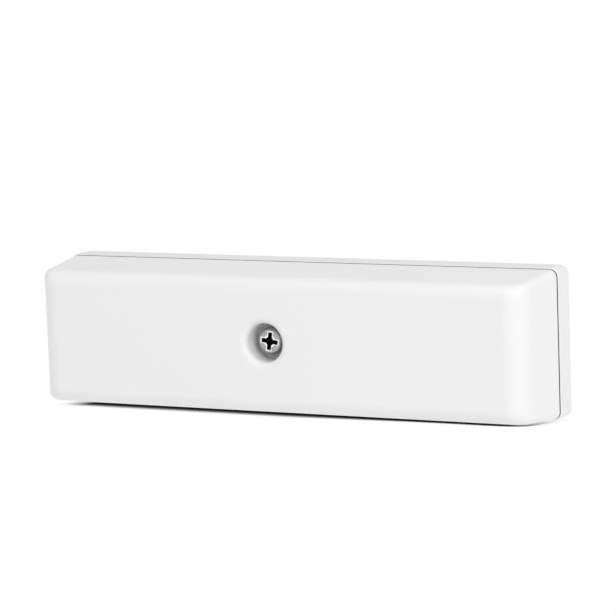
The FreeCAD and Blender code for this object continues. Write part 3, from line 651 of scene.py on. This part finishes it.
def screw_steel_painted_light(centre, front):
    """Steel of the cover screw, with a painted highlight on the land round the driver recess and
    painted shade inside the recess.
    """
    material = metal("screw_steel_painted_light", (0.42, 0.43, 0.44), 0.32, 1500, 0.004, 0.9, 0.3, patch=1500)
    # Painted highlight: a near-white ring on the land round the recess's mouth.
    recolour(material, (0.97, 0.97, 0.97), bore_mask, centre, 2.75, front + 0.035, front + 0.1)
    # Painted shade: near-black inside the cross recess, below the land.
    recolour(material, (0.012, 0.012, 0.013), bore_mask, centre, 2.6, front + 0.1, front + 2.5)


def inset_box(low, high, wide, tall, start, end):
    """Corners of a box between two places along Y, drawn in on its four other sides."""
    return at(low.x + wide, low.z + tall, start), at(high.x - wide, high.z - tall, end)


def shell(name, white, boxes, unshaded_box, arcs=None):
    """White shell plastic with painted shade in the seam."""
    material = plastic(name, (white, white + 0.005, white), 0.38, 3200, 0.012, 0.05, 0.003)
    # Painted shade: near-black colour where the seam's gap lies.
    return recolour(material, (0.04, 0.038, 0.036), seam_shade_mask, boxes, unshaded_box, arcs)


def shells():
    """Finishes of the cover and of the plate, with a thin line of painted shade where they meet."""
    low, high, _ = span("front_cover")
    # The rim and gap boxes bound the painted seam shade on the plate and on the cover.
    rim = (plate_front - 0.05, plate_front + 0.3)
    gap = (plate_front - 0.48, plate_front + 0.05)
    line = [inset_box(low, high, -0.04, SHELL_CORNER, *rim),
            inset_box(low, high, SHELL_CORNER, -0.05, *rim)]
    return {
        "front_cover": shell("cover_shell", 0.865, [inset_box(low, high, -5.0, -5.0, *gap)],
        inset_box(low, high, 1.65, 1.65, *gap)), "back_plate": shell("plate_shell", 0.835, line,
        inset_box(low, high, 0.4, 0.4, *rim), (low, high, 0.3, *rim))}


for board in ("board_laminate", "radio_laminate"):
    recolour(LOOKS[board], (0.28, 0.26, 0.13), edge_mask)
shell_looks = shells()
for entry in frame["record"]["subparts"]:
    mesh = frame["nodes"][entry["node"]].data
    mesh.materials.clear()
    mesh.materials.append(shell_looks.get(entry["node"]) or LOOKS[entry["material_slot"]])

# Screws, washer, seal and insert


def cross_cutter(centre, top, depth, mouth, mouth_arm, floor, floor_arm):
    """Tapered cross that cuts a driver recess from the front."""
    skew = 8
    arms = []
    for quarter in (0, 90):
        arm = block(*around(at(0, 0), mouth / 2, mouth_arm / 2, top, top + depth))
        taper(arm, BACK, floor / mouth, floor_arm / mouth_arm)
        arms.append(turned(arm, centre, skew + quarter))
    cone = lathe("cone", [(0, 0), (mouth_arm, 0), (floor_arm, depth), (0, depth)], centre, top, 24)
    combine(arms[0], arms[1], "UNION")
    combine(arms[0], cone, "UNION")
    return heal(arms[0])


def make_cover_screw():
    """Cheese head screw: rounded rim, slight crown, cross recess and a cut thread."""
    front, length, head, middle = round_span("cover_screw")
    seat = 2.6
    shank = 1.95
    profile = [
        (0, 0), (2.75, 0), (2.98, 0.07), (3.16, 0.25), (3.3, 0.5), (3.43, 0.85), (head, 1.2),
        (head, seat - 0.12), (head - 0.12, seat), (shank + 0.15, seat), (shank, seat + 0.15)]
    profile += thread(shank, 1.62, seat + 4.0, length - 0.7) + [(shank - 0.5, length), (0, length)]
    screw = lathe("cover_screw_body", profile, middle, front, 72)
    cut_away(screw, cross_cutter(middle, front - 0.02, 0.07, 5.2, 1.65, 5.2, 1.65))
    cut_away(screw, cross_cutter(middle, front - 0.02, 2.1, 4.7, 1.15, 2.1, 0.8))
    # The screw's look carries a painted highlight and painted shade round its recess.
    screw_steel_painted_light(middle, front)
    put(round_edges(screw, 0.03, 2, 50), "steel_screw", "cover_screw", body="screw",
        look="screw_steel_painted_light")


def make_washer():
    """Soft washer with rounded edges under the screw's head."""
    front, depth, outer, middle = round_span("sealing_washer")
    bore = 2.1
    profile = [(bore, 0.02), (outer, 0.02), (outer, depth), (bore, depth)]
    washer = lathe("screw_washer", profile, middle, front)
    put(round_edges(washer, 0.25, 3), "washer_rubber", "sealing_washer", body="washer", angle=35)


def make_seal():
    """Soft ring in the plate's groove, round where the cover presses on it."""
    low, high, _ = span("lid_seal")
    ring = panel("lid_seal_ring", low, high, 0.8)
    bpy.ops.mesh.inset(thickness=1.4 * MM)
    bpy.ops.mesh.delete(type="FACE")
    deepen(ring, low.y - high.y)
    put(round_edges(ring, 0.35, 3, 60), "seal_rubber", "lid_seal", angle=35)


def make_insert():
    """Brass sleeve with a chamfered mouth and a thread in its bore."""
    front, depth, outer, middle = round_span("threaded_insert")
    bore = 2.0
    profile = [(bore, depth), (outer, depth), (outer, 0.3), (outer - 0.3, 0), (bore + 0.45, 0)]
    profile += thread(bore, bore + 0.14, 0.45, depth - 0.2)
    put(lathe("brass_insert", profile, middle, front), "brass", "threaded_insert")


def screw_places():
    """Middle of the first board screw, and the (x, z) shift from it to the second."""
    low, high, _ = span("board_screws")
    radius = 2
    shift = high.x - low.x - 2 * radius, high.z - low.z - 2 * radius
    return at(low.x + radius, low.z + radius), [shift]


def make_board_screws():
    """Two pan head screws with a straight slot and a coarse thread."""
    low, high, _ = span("board_screws")
    centre, shifts = screw_places()
    seat = board_face - low.y
    length = high.y - low.y
    shank = 0.87
    profile = [(0, 0), (1.2, 0.06), (1.7, 0.25), (1.95, 0.6), (2.0, 0.9), (2.0, seat - 0.08),
               (1.92, seat), (shank, seat)] + thread(shank, 0.62, seat + 0.8, length - 0.9)
    profile += [(0.6, length - 0.8), (0.15, length), (0, length)]
    screw = lathe("board_screw", profile, centre, low.y, 40)
    cut_away(screw, block(*around(centre, 0.35, 3, low.y - 1, low.y + 0.75)))
    round_edges(screw, 0.04, 1, 55)
    put(repeated(screw, "board_screw_pair", shifts), "steel_screw", "board_screws")


# Cells and their tray


def make_cell(node, body, plus):
    """AAA cell along X: steel can with its nub, and a wrapped sleeve rolled over both ends."""
    low, high, middle = span(node)
    start = low.x if plus > 0 else high.x
    outer = (high.y - low.y) / 2
    inside = outer - 0.1
    steel = outer - 0.12

    def part(ending, profile, steps):
        """Turned part of the cell from points measured from its flat end."""
        profile = [(radius, plus * along) for radius, along in profile]
        return lathe(node + ending, profile, middle, start, steps, "X")

    can = part("_can", [
        (0, 0.1), (3.5, 0.1), (3.75, 0.28), (4.2, 0.28), (4.45, 0.1), (4.9, 0.15),
        (steel, 0.45), (steel, 42.9), (4.7, 43.25), (2.6, 43.35), (2.15, 43.45),
        (1.9, 43.65), (1.9, 44.3), (1.72, 44.5), (0, 44.5)], 64)
    sleeve = part("_sleeve", [
        (4.35, 0.06), (4.9, 0.0), (5.1, 0.06), (outer, 0.35), (outer, 43.1), (5.12, 43.42),
        (4.85, 43.5), (3.5, 43.48), (3.4, 43.4), (4.8, 43.38), (inside, 42.95),
        (inside, 0.4)], 96)
    sleeve_print(node + "_print", low, high, plus)
    put(can, "contact_steel", body=body, look="cell_steel", angle=35)
    put(sleeve, "cell_sleeve", node, body=body, look=node + "_print", angle=35)


def make_cells():
    make_cell("upper_battery", "upper_cell", 1)
    make_cell("lower_battery", "lower_cell", -1)


def make_tray_marks():
    """Raised plus and minus signs on the tray's end walls, beside each cell's ends."""
    low, high, _ = span("battery_tray")
    marks = []
    for node, plus in (("upper_battery", 1), ("lower_battery", -1)):
        z = span(node)[2].z
        for side, x in ((-1, low.x + 0.8), (1, high.x - 0.8)):
            strokes = [(0.52, 0.14), (0.14, 0.52)] if side == plus else [(0.52, 0.14)]
            for wide, tall in strokes:
                mark = block(*around(at(x, z), wide, tall, low.y - 0.08, low.y + 0.2))
                marks.append(taper(mark, FRONT, 0.8, 0.8))
    put(join(marks, "tray_marks"), "dial_plastic", look="board_ink", angle=0)


# Parts on the circuit board


def both_sides(middle, reach, pitch=0.0, count=1):
    """(side, x, z) of each place in a row on the left and in one on the right of a middle."""
    return [(side, middle.x + side * reach, middle.z + pitch * (i - (count - 1) / 2))
            for side in (-1, 1) for i in range(count)]


def fillet_heap(x, z, width, height, rise, lean):
    """Heap of solder on the board that leans against a part."""
    heap = block(*around(at(x, z), width / 2, height / 2, board_face - rise, board_face))
    taper(heap, FRONT, 0.45, 0.55)
    select_end(heap, FRONT)
    bpy.ops.transform.translate(value=mm(*lean))
    object_mode()
    return round_edges(heap, 0.08, 2, 20)


def put_feet(name, places, width, height, rise, lean):
    """Puts solder feet on the board at (side, x, z) places, which lean against their part."""
    put_tin(
        join([fillet_heap(x, z, width, height, rise, (-side * lean, 0, 0)) for side, x,
        z in places], name))


def bent_leg(edge, side, z, width, reach, rise, sheet=0.25):
    """Tinned leg that leaves a case, drops to the board and turns out along it."""
    path = [(-0.3, rise), (0.18, rise), (0.3, rise - 0.15), (0.3, 0.3), (0.42, sheet / 2),
            (reach, sheet / 2)]
    leg = draw_line([mm(edge + side * out, board_face - up, z - width / 2) for out, up in path])
    select_all()
    extrude(mm(0, 0, width))
    close(leg, "leg")
    return apply_modifier(leg, "SOLIDIFY", thickness=sheet * MM, offset=0.0, use_even_offset=True)


def make_switch():
    """Push switch: black base, pressed metal cover with four rivets, and four legs."""
    low, high, middle = span("switch_body")
    half = 3.1
    left, right = middle.x - half, middle.x + half
    joint = low.y + 0.45
    base = slab("switch_base", (left, joint, low.z), (right, high.y - 0.05, high.z), 0.5, 0.12)
    plate = slab("switch_cover", (left, low.y, low.z), (right, joint, high.z), 0.5, 0.2)
    apart = 4.6
    rivet = lathe(
        "rivet", [(0, -0.1), (0.35, -0.08), (0.5, 0.05), (0.5, 0.3), (0, 0.3)],
        at(middle.x - apart / 2, middle.z - apart / 2), low.y, 20)
    rivets = repeated(rivet, "switch_rivets", [(apart, 0), (0, apart), (apart, apart)])
    legs = [bent_leg(x, side, z, 0.7, 0.6, 1.3) for side, x, z in both_sides(middle, half, 4.5, 2)]
    well(base, middle, joint, 1.45, 1.76, room=joint - low.y)
    put(base, "chip_plastic", "switch_body", angle=35)
    put(well(plate, middle, low.y, 1.0, 2.0), "shield_steel", angle=35)
    put(rivets, "chip_plastic", angle=35)
    put_tin(join(legs, "switch_legs"), 0)


def make_button():
    """Round plunger with a softened rim."""
    front, depth, radius, middle = round_span("learn_button")
    plunger = lathe("button_plunger", [
        (0, 0.05), (0.9, 0), (radius - 0.3, 0), (radius - 0.09, 0.09), (radius, 0.3),
        (radius, depth), (0, depth)], middle, front, 48)
    put(plunger, "button_plastic", "learn_button", body="button", angle=35)


def make_dial():
    """Sensitivity control: square case with a well, and a white dial with an arrow slot."""
    low, high, middle = span("dial_body")
    case = well(slab("dial_case", low, high, 0.5, 0.25), middle, low.y, 1.65, 3.45)
    cut_away(
        case, block((middle.x - 0.6, low.y - 0.5, high.z - 0.45),
        (middle.x + 0.6, low.y + 0.5, high.z + 0.5)))
    put(case, "control_plastic", "dial_body")
    front, depth, radius, middle = round_span("sensitivity_dial")
    dial = lathe("dial_disc", [
        (0, 0), (radius - 0.35, 0), (radius - 0.1, 0.1), (radius, 0.35), (radius, depth),
        (0, depth)], middle, front)
    cut_away(dial, arrow_slot(middle, front, radius))
    put(dial, "dial_plastic", "sensitivity_dial", body="dial")


def arrow_slot(middle, front, radius):
    """Driver slot that widens to an arrow head at its upper end."""
    tip = radius - 0.7
    neck = tip - 2.0
    outline = [(-0.55, -tip), (0.55, -tip), (0.55, neck), (1.5, neck), (0, tip), (-1.5, neck),
               (-0.55, neck)]
    cutter = draw_line([mm(middle.x + x, front - 0.5, middle.z + z) for x, z in outline])
    select_all()
    bpy.ops.mesh.edge_face_add()
    return deepen(cutter, 1.4)


def make_status_light():
    """Small light: white case, clear lens over the die and two tinned ends."""
    low, high, middle = span("status_light")
    case = well(slab("light_case", low, high, 0.3, 0.12), middle, low.y, 0.6, 1.2)
    profile = [(0, 0.08), (0.7, 0.12), (1.1, 0.24), (1.19, 0.34), (1.19, 0.58), (0, 0.58)]
    lens = lathe("light_lens", profile, middle, low.y, 40)
    put(case, "light_plastic", "status_light")
    put(lens, "light_plastic", look="lens_gel", angle=35)
    put_feet("light_ends", both_sides(middle, 1.75), 0.7, 2.2, 0.6, 0.12)


def make_motion_sensor():
    """Flat square chip on a laminate base, with a pin mark; its tinned pads come with the board's
    pads.
    """
    low, high, _ = span("motion_sensor")
    joint = low.y + 0.7
    foot = slab(
        "motion_base", at(low.x, low.z, joint), at(high.x, high.z, high.y - 0.05), 0.08, 0.03, 1)
    cap = slab("motion_case", low, at(high.x, high.z, joint), 0.12, 0.06)
    well(cap, at(low.x + 0.55, high.z - 0.55), low.y, 0.06, 0.22)
    put(cap, "chip_plastic", "motion_sensor")
    put(foot, "chip_plastic", look="bare_laminate")


def make_microcontroller():
    """Moulded chip with a parting line, a pin mark and fourteen bent leads."""
    low, high, middle = span("microcontroller")
    wide, tall = 1.95, 4.35
    parting = low.y + 0.75
    halves = []
    for start, end, direction in ((low.y, parting, FRONT), (parting, high.y - 0.2, BACK)):
        half = block(*around(middle, wide, tall, start, end))
        halves.append(round_edges(taper(half, direction, 0.93, 0.97), 0.07))
    case = join(halves, "chip_case")
    well(case, at(middle.x - wide + 0.8, middle.z + tall - 0.9), low.y, 0.08, 0.4)
    leads = [bent_leg(x, side, z, 0.42, 1.05, 0.95, 0.2)
             for side, x, z in both_sides(middle, wide, LEAD_PITCH, 7)]
    put(case, "chip_plastic", "microcontroller")
    put_tin(join(leads, "chip_leads"), 0)


def make_crystal():
    """Low moulded crystal case with four tinned feet and a pin mark."""
    low, high, middle = span("clock_crystal")
    case = block(low, at(high.x, high.z, high.y - 0.1), "crystal_case")
    round_edges(taper(case, FRONT, 0.94, 0.88), 0.18, 3)
    well(case, at(low.x + 1.0, low.z + 0.95), low.y, 0.08, 0.35)
    put(case, "crystal_plastic", "clock_crystal")
    put_feet("crystal_feet", both_sides(middle, 4.05, 2.4, 2), 0.5, 0.9, 0.55, 0.1)


def make_reservoir():
    """Upright aluminium can with a rolled waist and a marked segment, on a black base."""
    low, _, middle = span("reservoir_capacitor")
    radius = 4.0
    waist = radius - 0.3
    base_top = board_face - 1.2
    tall = base_top - low.y
    can = lathe("reservoir_can", [
        (0, 0.12), (radius - 0.8, 0.1), (radius - 0.55, 0), (radius - 0.25, 0), (radius, 0.3),
        (radius, tall - 1.7), (waist, tall - 1.45), (waist, tall - 1.15), (radius, tall - 0.9),
        (radius, tall - 0.05), (0, tall - 0.05)], middle, low.y, 72)
    for turn in (0, 60, 120):
        score = block((-2.6, low.y - 1, -0.09), (2.6, low.y + 0.22, 0.09))
        cut_away(can, turned(score, middle, turn))
    can_print(middle, low.y)
    put(can, "can_aluminium", "reservoir_capacitor", look="can_marked")
    half = 4.15
    box = around(middle, half, half, base_top - 0.35, board_face - 0.1)
    base = block(*box, "reservoir_base")

    def corner(edge):
        """Whether an edge runs along Y on the right."""
        ends = [base.data.vertices[i].co / MM for i in edge.vertices]
        return abs(ends[0].y - ends[1].y) > 0.5 and ends[0].x > middle.x

    select_parts(base, "EDGE", corner)
    bpy.ops.mesh.bevel(offset=2.0 * MM, segments=1)
    object_mode()
    well(round_edges(base, 0.08), middle, base_top, 0, radius + 0.03)
    put(base, "chip_plastic")
    put_feet("reservoir_feet", both_sides(middle, 4.3), 0.9, 0.9, 0.35, 0.1)


def make_radio():
    """Radio module: carrier with plated half holes, and a drawn shield with a lid line."""
    low, high, middle = span("radio_board")
    depth = high.y - low.y
    carrier = slab("radio_carrier", low, high, 0.25, 0.04, 1)
    plating = []
    for _, x, z in both_sides(middle, 8.0, RADIO_PITCH, 8):
        well(carrier, at(x, z), low.y, depth + 1, 0.5)
        profile = [(0.32, -0.02), (0.62, -0.02), (0.5, 0.02), (0.5, depth), (0.32, depth)]
        plating.append(lathe("bush", profile, at(x, z), low.y, 20))
    ring = join(plating, "radio_contacts")
    for left, right in ((low.x - 3, low.x), (high.x, high.x + 3)):
        cut_away(ring, block((left, low.y - 1, low.z - 1), (right, high.y + 1, high.z + 1)))
    put(carrier, "radio_laminate", "radio_board")
    put(ring, "brass", look="plated_gold", angle=0)
    low, high, _ = span("radio_shield")
    can = slab("shield_can", low, high, 1.0, 0.35, 4)
    select_end(can, FRONT)
    for width, rise in ((0.55, 0), (0.12, -0.07), (0.12, 0.07)):
        bpy.ops.mesh.inset(thickness=width * MM, depth=rise * MM)
    put(can, "shield_steel", "radio_shield")


def make_antenna():
    """Round wire wound to a helix, with a straight leg at each end down to the board."""
    low, high, middle = span("antenna_coil")
    wire = 0.4
    turns = 3.5
    pitch = (high.x - low.x - 2 * wire) / turns
    radius = (high.z - low.z) / 2 - wire
    axis_y = low.y + wire + radius
    deselect()
    bpy.ops.mesh.primitive_circle_add(
        vertices=14, radius=wire * MM, location=mm(0, 0, radius), rotation=(math.radians(90), 0, 0))
    coil = close(bpy.context.object, "antenna_wire")
    steps = 126
    apply_modifier(
        coil, "SCREW", axis="X", angle=math.radians(360 * turns), screw_offset=pitch * turns * MM,
        steps=steps, render_steps=steps, iterations=1, use_smooth_shade=True)
    edit(coil)
    bpy.ops.mesh.select_mode(type="EDGE")
    select_all("DESELECT")
    bpy.ops.mesh.select_non_manifold()
    extrude(mm(0, board_face - 0.02 - axis_y, 0))
    select_all()
    bpy.ops.mesh.fill_holes(sides=0)
    bpy.ops.mesh.select_mode(type="VERT")
    coil.location = mm(low.x + wire, axis_y, middle.z)
    put(close_solid(coil, "antenna_wire"), "antenna_wire", "antenna_coil", angle=60)


def loose_blocks(node):
    """Centre and size of each loose block in a node of small parts, in millimetres."""
    mesh = frame["nodes"][node].data
    groups = []
    for face in mesh.polygons:
        points = {tuple(round(c / MM, 3) for c in mesh.vertices[i].co) for i in face.vertices}
        touching = [group for group in groups if group & points]
        groups = [group for group in groups if group not in touching]
        groups.append(points.union(*touching))
    blocks = []
    for group in groups:
        low, high = (Vector(list(map(end, zip(*group)))) for end in (min, max))
        blocks.append(((low + high) / 2, high - low))
    return sorted(blocks, key=lambda entry: tuple(entry[0]))


def make_small_parts(node, name, slot, upright):
    """Row of chip parts: a ceramic body between two tinned caps, soldered at both ends."""
    long = 2 if upright else 0
    cap = 0.35
    bodies = []
    ends = []
    for centre, size in loose_blocks(node):
        half = size / 2
        bodies.append(round_edges(block(centre - half, centre + half), 0.06))
        for side in (-1, 1):
            low, high = centre - half, centre + half
            (high if side < 0 else low)[long] = centre[long] + side * (half[long] - cap)
            ends.append(round_edges(block(low, high), 0.08))
            lean = Vector((0, 0, 0))
            lean[long] = -side * 0.14
            place = centre.copy()
            place[long] += side * (half[long] + 0.2)
            width, height = (size.x * 0.95, 0.55) if upright else (0.55, size.z * 0.95)
            ends.append(fillet_heap(place.x, place.z, width, height, size.y * 0.55, lean))
    put(join(bodies, name + "_bodies"), slot, node)
    put_tin(join(ends, name + "_ends"), 30)


def make_chips():
    make_small_parts("chip_resistors", "resistor", "resistor_ceramic", True)
    make_small_parts("chip_capacitors", "ceramic", "capacitor_ceramic", False)


# Tracks, print and solder on the board


def track(x0, z0, x1, z1, share=0.5):
    """Points of a track between two places, with one 45 degree step part of the way."""
    across = math.copysign(1, x1 - x0)
    up = math.copysign(1, z1 - z0)
    wide = abs(x1 - x0)
    tall = abs(z1 - z0)
    if wide >= tall:
        turn = x0 + across * (wide - tall) * share
        return [(x0, z0), (turn, z0), (turn + across * tall, z1), (x1, z1)]
    turn = z0 + up * (tall - wide) * share
    return [(x0, z0), (x0, turn), (x1, turn + up * wide), (x1, z1)]


def make_tracks():
    """Copper lines under the board's green mask, between the parts they join."""
    chip, motion, crystal, dial, switch, light, can, radio = (span(node)[2] for node in (
        "microcontroller", "motion_sensor", "clock_crystal", "dial_body", "switch_body",
        "status_light", "reservoir_capacitor", "radio_board"))
    low, high = board_low, board_high
    lead = [chip.z + LEAD_PITCH * (i - 3) for i in range(7)]
    left, right = chip.x - 3.0, chip.x + 3.0
    paths = [
        track(right, lead[i], radio.x - 8.0, radio.z + RADIO_PITCH * (i - 3.5), 0.3 + 0.08 * i)
        for i in range(1, 6)]
    paths += [track(left, lead[i], dial.x + 3.6, dial.z - 3.4 + 1.6 * i, 0.3) for i in range(3)]
    paths += [track(crystal.x + 4.0, crystal.z + step, motion.x - 1.6, motion.z + step * 0.75)
              for step in (-1.2, 1.2)]
    paths += [track(*ends) for ends in (
        (left, lead[6], motion.x, motion.z - 1.6, 0.6),
        (left, lead[5], motion.x - 1.2, motion.z - 1.6, 0.75),
        (right, lead[6], can.x + 1.0, can.z - 4.4, 0.4),
        (switch.x + 3.8, switch.z - 2.25, light.x - 1.9, light.z - 1.0),
        (light.x + 1.9, light.z, can.x - 4.4, can.z),
        (switch.x - 3.8, switch.z + 2.25, low.x + 3.2, switch.z + 4.0, 0.4),
        (dial.x - 4.9, dial.z - 2.0, low.x + 4.2, low.z + 9.5),
        (radio.x + 8.0, radio.z + 2.7, high.x - 2.4, high.z - 7.0, 0.3),
        (radio.x + 8.0, radio.z - 2.7, high.x - 2.6, radio.z - 2.7, 0.3))]
    paths += [[(low.x + 2.0, z), (high.x - 2.0, z)] for z in (low.z + 0.9, high.z - 0.9)]
    supply = [
        track(low.x + 2.8, span("positive_contact")[2].z, switch.x - 3.6, switch.z - 2.25, 0.6),
        [(high.x - 0.9, low.z + 2.0), (high.x - 0.9, high.z - 6.2)]]
    rise = 0.035
    lines = [ribbon("signal_tracks", paths, 0.34, rise), ribbon("supply_tracks", supply, 1.0, rise)]
    put(join(lines, "board_tracks"), "board_laminate", look="board_copper", angle=0)


def make_vias():
    """Tinned through holes beside the tracks."""
    chip = span("microcontroller")[2]
    via = lathe("via", [(0.16, 0.02), (0.18, -0.05), (0.36, -0.05), (0.42, 0.02)],
                at(chip.x - 5.4, board_low.z + 3.0), board_face, 18)
    shifts = [(1.9 * i, 0.0) for i in range(1, 4)]
    shifts += [(30.5, 1.5 * i - 1.2) for i in range(3)]
    shifts += [(2.2 * i - 8.0, 23.7) for i in range(5)]
    shifts += [(2.0 * i + 14.5, 17.2) for i in range(2)]
    put_tin(repeated(via, "board_vias", shifts), 0)


def outline(node):
    """Closed (x, z) path round a node."""
    margin = 0.45
    low, high, _ = span(node)
    left, bottom = low.x - margin, low.z - margin
    right, top = high.x + margin, high.z + margin
    return [(left, bottom), (right, bottom), (right, top), (left, top), (left, bottom)]


def make_board_print():
    """White outlines round the parts, a ring round the boss and polarity signs."""
    paths = [outline(node) for node in (
        "dial_body", "clock_crystal", "motion_sensor", "microcontroller", "reservoir_capacitor",
        "radio_board", "status_light")]
    low, high, _ = span("antenna_coil")
    left, right, top = low.x - 0.9, high.x + 0.9, high.z + 0.6
    paths.append([(left, low.z + 1.4), (left, top), (right, top), (right, low.z + 1.4)])
    x = board_low.x + 1.4
    half = 0.8
    plus, minus = (span(node)[2].z - 3.3 for node in ("positive_contact", "negative_contact"))
    paths += [[(x - half, plus), (x + half, plus)], [(x, plus - half), (x, plus + half)],
              [(x - half, minus), (x + half, minus)]]
    rise = 0.03
    inner, outer = 5.99, 6.21
    ring = lathe("boss_ring", [(inner, 0), (inner, -rise), (outer, -rise), (outer, 0)],
                 span("cover_screw")[2], board_face)
    put(join([ribbon("outlines", paths, 0.2, rise), ring], "board_print"), "dial_plastic",
        look="board_ink", angle=0)


def pads(places, width, height):
    """Tinned pads at (side, x, z) places, a little proud of the board."""
    _, x, z = places[0]
    box = around(at(x, z), width / 2, height / 2, board_face - 0.06, board_face)
    pad = slab("pad", *box, 0.12, 0.03, 1)
    return repeated(pad, "pads", [(other_x - x, other_z - z) for _, other_x, other_z in places[1:]])


def make_pads():
    """Tinned pads under the leads, round the board screws and at the test points."""
    chip, motion, radio = (span(node)[2] for node in (
        "microcontroller", "motion_sensor", "radio_board"))
    centre, shifts = screw_places()
    ring = lathe(
        "screw_land", [(1.15, 0), (1.15, -0.05), (2.7, -0.05), (2.75, 0)], centre, board_face, 48)
    point = lathe(
        "test_point", [(0, -0.06), (0.55, -0.06), (0.62, 0), (0, 0)],
        at(board_high.x - 2.4, board_high.z - 9.5), board_face, 24)
    put_tin(join([
        pads(both_sides(chip, 2.95, LEAD_PITCH, 7), 1.5, 0.62),
        pads(both_sides(motion, 1.6, 0.9, 3), 0.7, 0.5),
        pads(both_sides(radio, 8.45, RADIO_PITCH, 8), 1.3, 1.0),
        repeated(ring, "screw_lands", shifts),
        repeated(point, "test_points", [(0, -2.2 * i) for i in range(1, 5)])], "board_pads"), 30)


def make_solder():
    """Solder over the contact lugs and the antenna's legs."""
    lug_heap = [(0, -0.75), (0.5, -0.68), (1.0, -0.5), (1.35, -0.2), (1.6, 0), (0, 0)]
    leg_heap = [(0, -0.7), (0.45, -0.6), (0.7, -0.25), (1.0, 0), (0, 0)]
    heaps = []
    for node in ("positive_contact", "negative_contact"):
        _, high, middle = span(node)
        heaps.append(lathe("heap", lug_heap, at(high.x - 0.7, middle.z), board_face, 28))
    low, high, _ = span("antenna_coil")
    wire = 0.4
    for x, z in ((low.x + wire, high.z - wire), (high.x - wire, low.z + wire)):
        heaps.append(lathe("heap", leg_heap, at(x, z), board_face, 24))
    put_tin(join(heaps, "solder_heaps"), 50)


for make in (
        make_cover_screw, make_washer, make_seal, make_insert, make_board_screws, make_cells,
        make_tray_marks, make_switch, make_button, make_dial, make_status_light,
        make_motion_sensor, make_microcontroller, make_crystal, make_reservoir, make_radio,
        make_antenna, make_chips, make_tracks, make_vias, make_board_print, make_pads, make_solder):
    make()

# Floor, light and camera


def make_floor(tilt, bounce):
    """White floor with a painted contact shadow, tilted so that the sensor's drafted underside
    rests on it.

    Bounce is the light that it gives back, which is what white card gives in this light.
    """
    deselect()
    bpy.ops.mesh.primitive_plane_add(size=6, location=(0, 0, 0))
    floor = bpy.context.object
    floor.name = "floor"
    floor.rotation_euler = (-tilt, 0, 0)
    floor.location = mm(0, plate_front, 0) - mm(0, math.sin(tilt), math.cos(tilt)) * 0.02
    material = bpy.data.materials.new("floor")
    material.use_nodes = True
    tree = material.node_tree
    tree.nodes.clear()
    # Painted shadow: for camera rays the floor's glow is darkened by ambient occlusion near the
    # sensor, faded out at the ends along X and behind the right end.
    contact = add(tree, "AmbientOcclusion", {"Distance": 12.5 * MM}, samples=16)
    x, y, _ = split(add(tree, "TexCoord").outputs["Object"])
    left_end = map_range(x, (-61.4 * MM, -54.6 * MM), (0.0, 0.99))
    beyond = map_range(x, (62.0 * MM, 67.0 * MM), (0.0, 1.0))
    behind = map_range(y, (-19.0 * MM, 1.0 * MM), (0.08, 0.9))
    right_end = calc("SUBTRACT", 0.99, calc("MULTIPLY", beyond, behind))
    fade = calc("MINIMUM", left_end, right_end)
    reach = map_range(x, (5.0 * MM, 46.0 * MM), (0.80, 0.51))
    share = map_range(contact.outputs["AO"], (0.42, reach), (0.0, 1.0))
    shadow = calc("SUBTRACT", 1.0, calc("POWER", share, 2.0))
    seen_level = calc("SUBTRACT", 1.0, calc("MULTIPLY", shadow, fade))
    path = add(tree, "LightPath").outputs
    mirrored = calc("MAXIMUM", path["Is Glossy Ray"], path["Is Transmission Ray"])
    given = map_range(mirrored, (0.0, 1.0), (bounce, 1.0))
    level = add(
        tree, "Mix", {"Factor": path["Is Camera Ray"], "A": given, "B": seen_level},
        data_type="FLOAT")
    glow = add(tree, "Emission", {"Strength": level.outputs[0]})
    add(tree, "OutputMaterial", {"Surface": glow.outputs[0]})
    floor.data.materials.append(material)


def make_world(light):
    """Even white surroundings: full white where they are seen, softer as light."""
    world = bpy.data.worlds.new("surroundings")
    bpy.context.scene.world = world
    world.use_nodes = True
    tree = world.node_tree
    path = add(tree, "LightPath").outputs
    seen = calc("MAXIMUM", path["Is Camera Ray"], path["Is Transmission Ray"])
    strength = add(tree, "Mix", {"Factor": seen, "A": light, "B": 1.0}, data_type="FLOAT")
    feed(tree, tree.nodes["Background"], {"Color": (1, 1, 1, 1), "Strength": strength.outputs[0]})


def make_lamp(name, place, width, height, power):
    """Soft rectangular lamp that faces the sensor, in millimetres."""
    deselect()
    bpy.ops.object.light_add(type="AREA", location=mm(*place))
    lamp = bpy.context.object
    lamp.name = name
    lamp.data.shape = "RECTANGLE"
    lamp.data.size = width * MM
    lamp.data.size_y = height * MM
    lamp.data.energy = power
    aim = mm(0, 0, 20) - mm(*place)
    lamp.rotation_euler = aim.to_track_quat("-Z", "Y").to_euler()


def make_camera():
    """Camera that was fitted to the outline, the seam and the recess in the photograph."""
    right = Vector((0.893107, 0.448446, -0.035350))
    up = Vector((-0.03343, 0.14452, 0.98894))
    back = Vector((0.448595, -0.882047, 0.144061))
    place = mm(360.55, -701.7, 141.8)
    data = bpy.data.cameras.new("camera")
    data.sensor_width = 36.0
    data.lens = 182.29
    data.clip_start = 0.01
    data.clip_end = 20.0
    camera = bpy.data.objects.new("camera", data)
    camera.matrix_world = (
        Matrix.Translation(place) @ Matrix((right, up, back)).transposed().to_4x4())
    bpy.context.scene.collection.objects.link(camera)
    bpy.context.scene.camera = camera


make_floor(math.radians(5.6), 0.88)
make_world(0.69)
make_lamp("key_lamp", (700, -420, 420), 500, 500, 2.4)
make_lamp("front_lamp", (50, -900, 200), 500, 400, 0.15)
make_lamp("top_lamp", (0, -300, 850), 500, 500, 1.07)
make_camera()
bpy.context.scene.view_settings.view_transform = "Standard"
